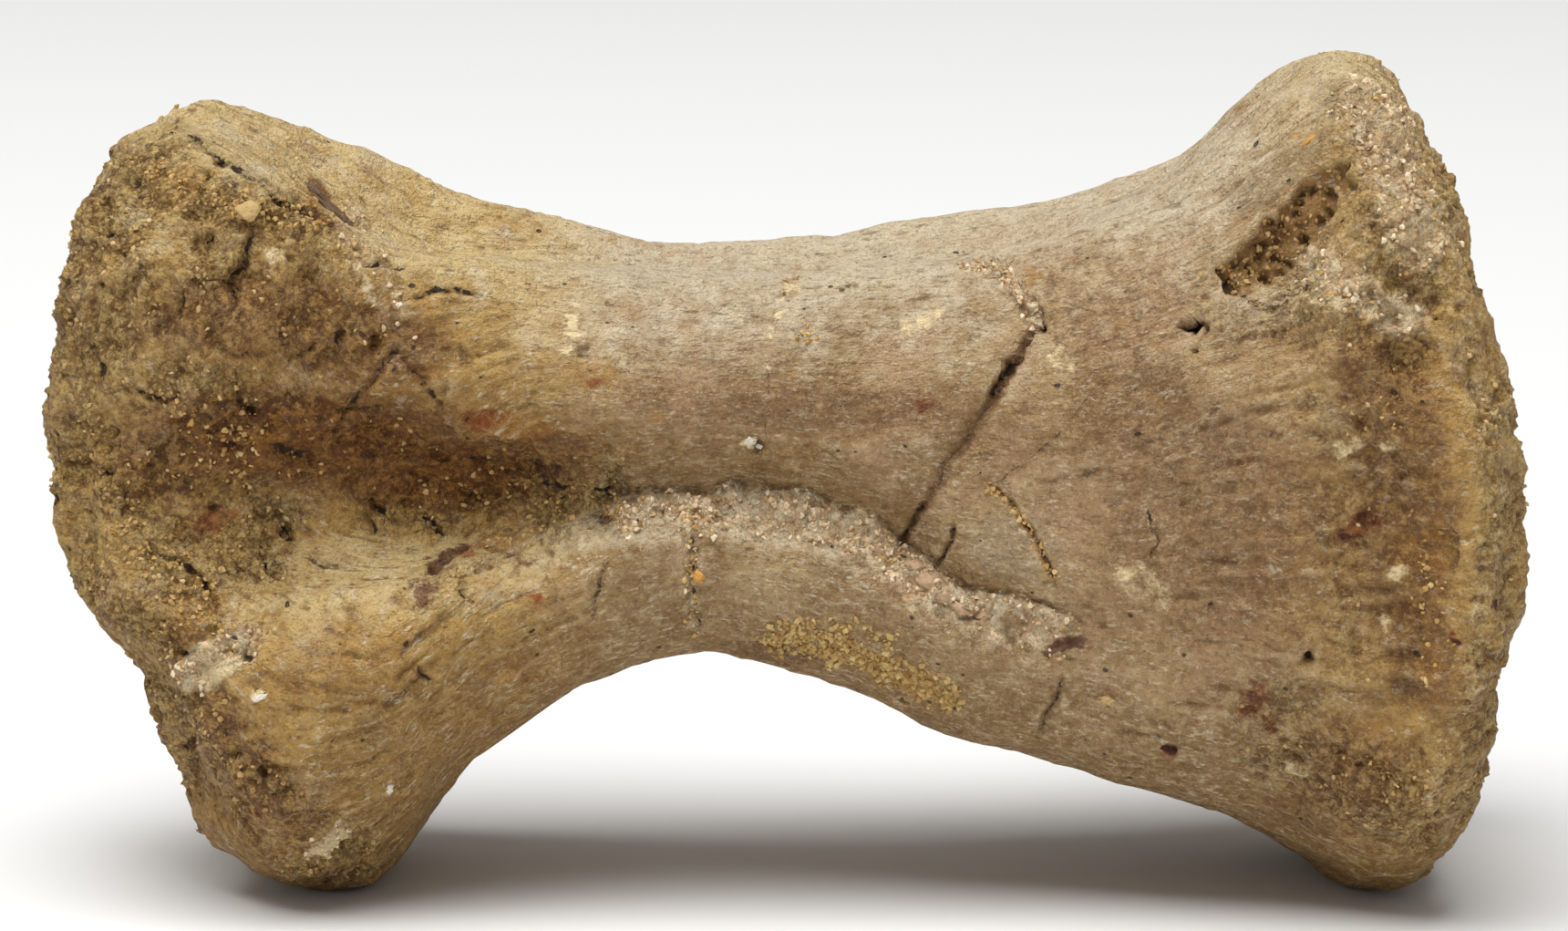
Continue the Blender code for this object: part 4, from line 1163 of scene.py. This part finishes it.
def grainTree(name):
    # Scatters uneven grains over a surface where its grainShare is high.
    tree = bpy.data.node_groups.new(name, "GeometryNodeTree")
    sockets = {"Geometry": "Geometry", "Spacing": "Float", "Most": "Float", "Smallest": "Float",
               "Largest": "Float", "Seed": "Int", "Finish": "Material"}
    for label, kind in sockets.items():
        tree.interface.new_socket(label, in_out="INPUT", socket_type="NodeSocket" + kind)
    tree.interface.new_socket("Geometry", in_out="OUTPUT", socket_type="NodeSocketGeometry")
    takes = tree.nodes.new("NodeGroupInput").outputs
    share = addNode(tree, "GeometryNodeInputNamedAttribute", data_type="FLOAT", inputs={"Name": "grainShare"})
    dots = addNode(tree, "GeometryNodeDistributePointsOnFaces", distribute_method="POISSON",
                   inputs={"Mesh": takes["Geometry"], "Distance Min": takes["Spacing"],
                           "Density Max": takes["Most"], "Density Factor": share.outputs["Attribute"],
                           "Seed": takes["Seed"]}).outputs["Points"]
    ball = addNode(tree, "GeometryNodeMeshIcoSphere", inputs={"Radius": 1.0, "Subdivisions": 1}).outputs[0]

    def randomNode(kind, low, high, extra):
        made = addNode(tree, "FunctionNodeRandomValue", data_type=kind)
        for socket, value in zip([s for s in made.inputs if s.enabled], (low, high)):
            feed(tree, socket, value)
        feed(tree, made.inputs["Seed"], plus(tree, takes["Seed"], extra))
        return [s for s in made.outputs if s.enabled][0]

    size = randomNode("FLOAT", takes["Smallest"], takes["Largest"], 11.0)
    uneven = randomNode("FLOAT_VECTOR", grainForm["least"], grainForm["most"], 23.0)
    scaled = vectorNode(tree, "SCALE", uneven, size)
    turn = randomNode("FLOAT_VECTOR", (0.0, 0.0, 0.0), (6.28, 6.28, 6.28), 37.0)
    placed = addNode(tree, "GeometryNodeInstanceOnPoints",
                     inputs={"Points": dots, "Instance": ball, "Rotation": turn, "Scale": scaled}).outputs[0]
    tone = randomNode("FLOAT", 0.0, 1.0, 51.0)
    toned = addNode(tree, "GeometryNodeStoreNamedAttribute", data_type="FLOAT", domain="INSTANCE",
                    inputs={"Geometry": placed, "Name": "grainTone", "Value": tone}).outputs[0]
    real = addNode(tree, "GeometryNodeRealizeInstances", inputs={"Geometry": toned}).outputs[0]
    where = addNode(tree, "GeometryNodeInputPosition").outputs[0]
    pushes = noiseNode(tree, where, grainForm["dentScale"], 2.0)["Color"]
    pushes = vectorNode(tree, "SUBTRACT", pushes, (0.5, 0.5, 0.5))
    dent = vectorNode(tree, "SCALE", pushes, grainForm["dentDepth"])
    moved = addNode(tree, "GeometryNodeSetPosition", inputs={"Geometry": real, "Offset": dent}).outputs[0]
    flat = addNode(tree, "GeometryNodeSetShadeSmooth", inputs={0: moved, "Shade Smooth": False}).outputs[0]
    finish = addNode(tree, "GeometryNodeSetMaterial", inputs={"Geometry": flat, "Material": takes["Finish"]})
    tree.links.new(finish.outputs[0], tree.nodes.new("NodeGroupOutput").inputs[0])
    return tree


def setInputs(modifier, values):
    for item in modifier.node_group.interface.items_tree:
        if item.item_type == "SOCKET" and item.in_out == "INPUT" and item.name in values:
            modifier[item.identifier] = values[item.name]


def scatterGrains(name, bone, shares, tree, speckle):
    values = grainKinds[name]
    mesh = bone.data.copy()
    mesh.attributes.new("grainShare", "FLOAT", "POINT").data.foreach_set("value", shares.astype(np.float32))
    holder = addObject(name + "Source", mesh)
    scatter = holder.modifiers.new("grains", "NODES")
    scatter.node_group = tree
    material = grainMaterial(name + "Finish", values["colours"], speckle)
    setInputs(scatter, {"Spacing": values["spacing"] * mm, "Most": values["most"] / mm ** 2,
                        "Smallest": values["smallest"] * mm, "Largest": values["largest"] * mm,
                        "Seed": values["seed"], "Finish": material})
    result = bakedMesh(holder)
    writePoints(result, keptNear(readMesh(result)[0], grainForm["spare"]))
    result.name = name
    grains = addObject(name, result)
    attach(grains, "root")
    print(name + ":", len(result.polygons), "faces")


def sharesOf(mesh, name):
    data = np.empty(len(mesh.vertices) * 4, dtype=np.float32)
    mesh.attributes[name].data.foreach_get("color", data)
    return data.reshape(-1, 4)[:, :3].T


def buildGrains(bone, speckle):
    tree = grainTree("grainScatter")
    mesh = bone.data
    points, normals = readMesh(mesh)
    front = sideOf(points, normals)
    _, rough, dark = sharesOf(mesh, "surface")
    lip, pit, _ = sharesOf(mesh, "crustAndFacing")
    patchy = softStep(noiseAt(points, 2.4, 61, 2), -0.05, 0.35)
    halfPatchy = 0.4 + 0.6 * patchy
    clear = 1.0 - np.clip(dark * 1.6, 0.0, 1.0)
    shares = {"sandCrumbs": rough * patchy * clear + 0.6 * pit, "lipCrumbs": lip * clear * halfPatchy,
              "ochreGrains": strokeMask(front, ochreStrokes) * halfPatchy,
              "clumpGrains": strokeMask(front, clumpStrokes)}
    for name, share in shares.items():
        scatterGrains(name, bone, np.clip(share, 0, 1), tree, speckle)


# Single grains and a splinter that show clearly: x, y, length, width, thickness in pixels, turn, tone.
singleGrains = [
    (767, 632, 7, 6, 5, 10, 0.25), (822, 484, 8, 5, 3, 30, 1.0), (834, 490, 5, 3, 2, 0, 1.0),
    (272, 232, 14, 10, 3, -25, 0.5), (284, 763, 8, 3, 2, -20, 1.0), (429, 864, 4, 6, 2, 0, 1.0),
    (440, 332, 4, 3, 2, 0, 1.0), (1434, 152, 8, 4, 3, -30, 0.25), (1217, 766, 8, 5, 3, 0, 0.5),
    (1052, 668, 12, 6, 5, 20, 0.75), (1018, 640, 12, 8, 5, 25, 0.75), (1004, 622, 10, 7, 5, 15, 0.75),
    (1034, 652, 9, 7, 5, -10, 0.75), (1078, 674, 11, 6, 4, 15, 0.75), (362, 226, 32, 6, 4, 58, 0.0),
    (372, 240, 20, 5, 5, 40, 0.0), (346, 212, 16, 4, 5, 75, 0.0),
]
singleColours = [
    (0.13, 0.075, 0.035), (0.62, 0.3, 0.05), (0.56, 0.38, 0.14), (0.52, 0.34, 0.2), (0.8, 0.73, 0.6),
]
# Millimetres to a pixel, how uneven and how lumpy they are, and how far the surface there must face the
# camera.
singleForm = {"perPixel": 0.06, "uneven": 0.6, "lumps": 1.9, "facing": 0.1}


def buildSingles(bone, speckle):
    points, normals = readMesh(bone.data)
    place = photoPlace(points)
    back, _ = viewAxes()
    away = normals @ np.array(back) < singleForm["facing"]
    scale = singleForm["perPixel"]
    grainMesh = bmesh.new()
    toneLayer = grainMesh.verts.layers.float.new("grainTone")
    for number, (x, y, length, width, thick, turn, tone) in enumerate(singleGrains):
        gap = np.hypot(place[:, 0] - x, place[:, 1] - y) + np.where(away, 1e6, 0.0)
        found = int(gap.argmin())
        outward = Vector(normals[found])
        across = Vector((math.cos(math.radians(turn)), 0.0, -math.sin(math.radians(turn))))
        across = (across - outward * across.dot(outward)).normalized()
        axes = (across * length * scale, outward.cross(across) * width * scale, outward * thick * scale)
        for vert in bmesh.ops.create_icosphere(grainMesh, subdivisions=3, radius=1.0)["verts"]:
            bumps = noise.noise(vert.co * singleForm["lumps"] + Vector((number, 0, 0)))
            rough = 1.0 + singleForm["uneven"] * bumps
            spot = Vector(points[found])
            spot += (axes[0] * vert.co.x + axes[1] * vert.co.y + axes[2] * vert.co.z) * rough
            vert.co = spot * mm
            vert[toneLayer] = tone
    mesh = bpy.data.meshes.new("singleGrains")
    grainMesh.to_mesh(mesh)
    grainMesh.free()
    mesh.shade_smooth()
    mesh.materials.append(grainMaterial("singleGrainFinish", singleColours, speckle))
    grains = addObject("singleGrains", mesh)
    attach(grains, "root")


# Floor, lights and camera

studioValues = {
    "floorSize": 6.0,
    "floorColour": (0.88, 0.88, 0.87), "floorRoughness": 0.9, "floorSpecular": 0.1,
    "sky": (1.0, 1.0, 1.0),
    "skyStrength": 0.24,
    "keySize": 1.3, "keyPower": 32.0, "keyPlace": (-0.2, -0.4, 1.5),
    "fillSize": 0.5, "fillPower": 0.2, "fillPlace": (-0.25, -0.65, 0.12),
}


def buildFloor():
    half = studioValues["floorSize"] / 2
    mesh = bpy.data.meshes.new("floor")
    corners = [(-half, -half, 0), (half, -half, 0), (half, half, 0), (-half, half, 0)]
    mesh.from_pydata(corners, [], [(0, 1, 2, 3)])
    material, _, shader = newMaterial("paleFloor")
    shader.inputs["Base Color"].default_value = (*studioValues["floorColour"], 1.0)
    shader.inputs["Roughness"].default_value = studioValues["floorRoughness"]
    shader.inputs["Specular IOR Level"].default_value = studioValues["floorSpecular"]
    mesh.materials.append(material)
    floor = addObject("floor", mesh)


def buildLights():
    world = bpy.data.worlds.new("studio")
    world.use_nodes = True
    background = world.node_tree.nodes["Background"]
    background.inputs["Color"].default_value = (*studioValues["sky"], 1.0)
    background.inputs["Strength"].default_value = studioValues["skyStrength"]
    bpy.context.scene.world = world
    for name in ("key", "fill"):
        data = bpy.data.lights.new(name, "AREA")
        data.size = studioValues[name + "Size"]
        data.energy = studioValues[name + "Power"]
        lamp = addObject(name, data)
        lamp.location = studioValues[name + "Place"]
        aim = Vector(viewValues["target"]) * mm - lamp.location
        lamp.rotation_euler = aim.to_track_quat("-Z", "Y").to_euler()


def buildCamera():
    back, _ = viewAxes()
    data = bpy.data.cameras.new("camera")
    data.sensor_width = viewValues["sensor"]
    data.lens = viewValues["sensor"] * viewValues["distance"] / viewValues["width"]
    data.clip_start = 0.01
    camera = addObject("camera", data)
    camera.location = (Vector(viewValues["target"]) + back * viewValues["distance"]) * mm
    camera.rotation_euler = (-back).to_track_quat("-Z", "Y").to_euler()
    bpy.context.scene.camera = camera


speckle = speckleGroup()
bone = buildBone(boneMaterial(speckle, poreGroup(), gritGroup()))
buildGrains(bone, speckle)
buildSingles(bone, speckle)
buildFloor()
buildLights()
buildCamera()
bpy.context.scene.view_settings.view_transform = "Standard"
print("floor, lights and camera placed")
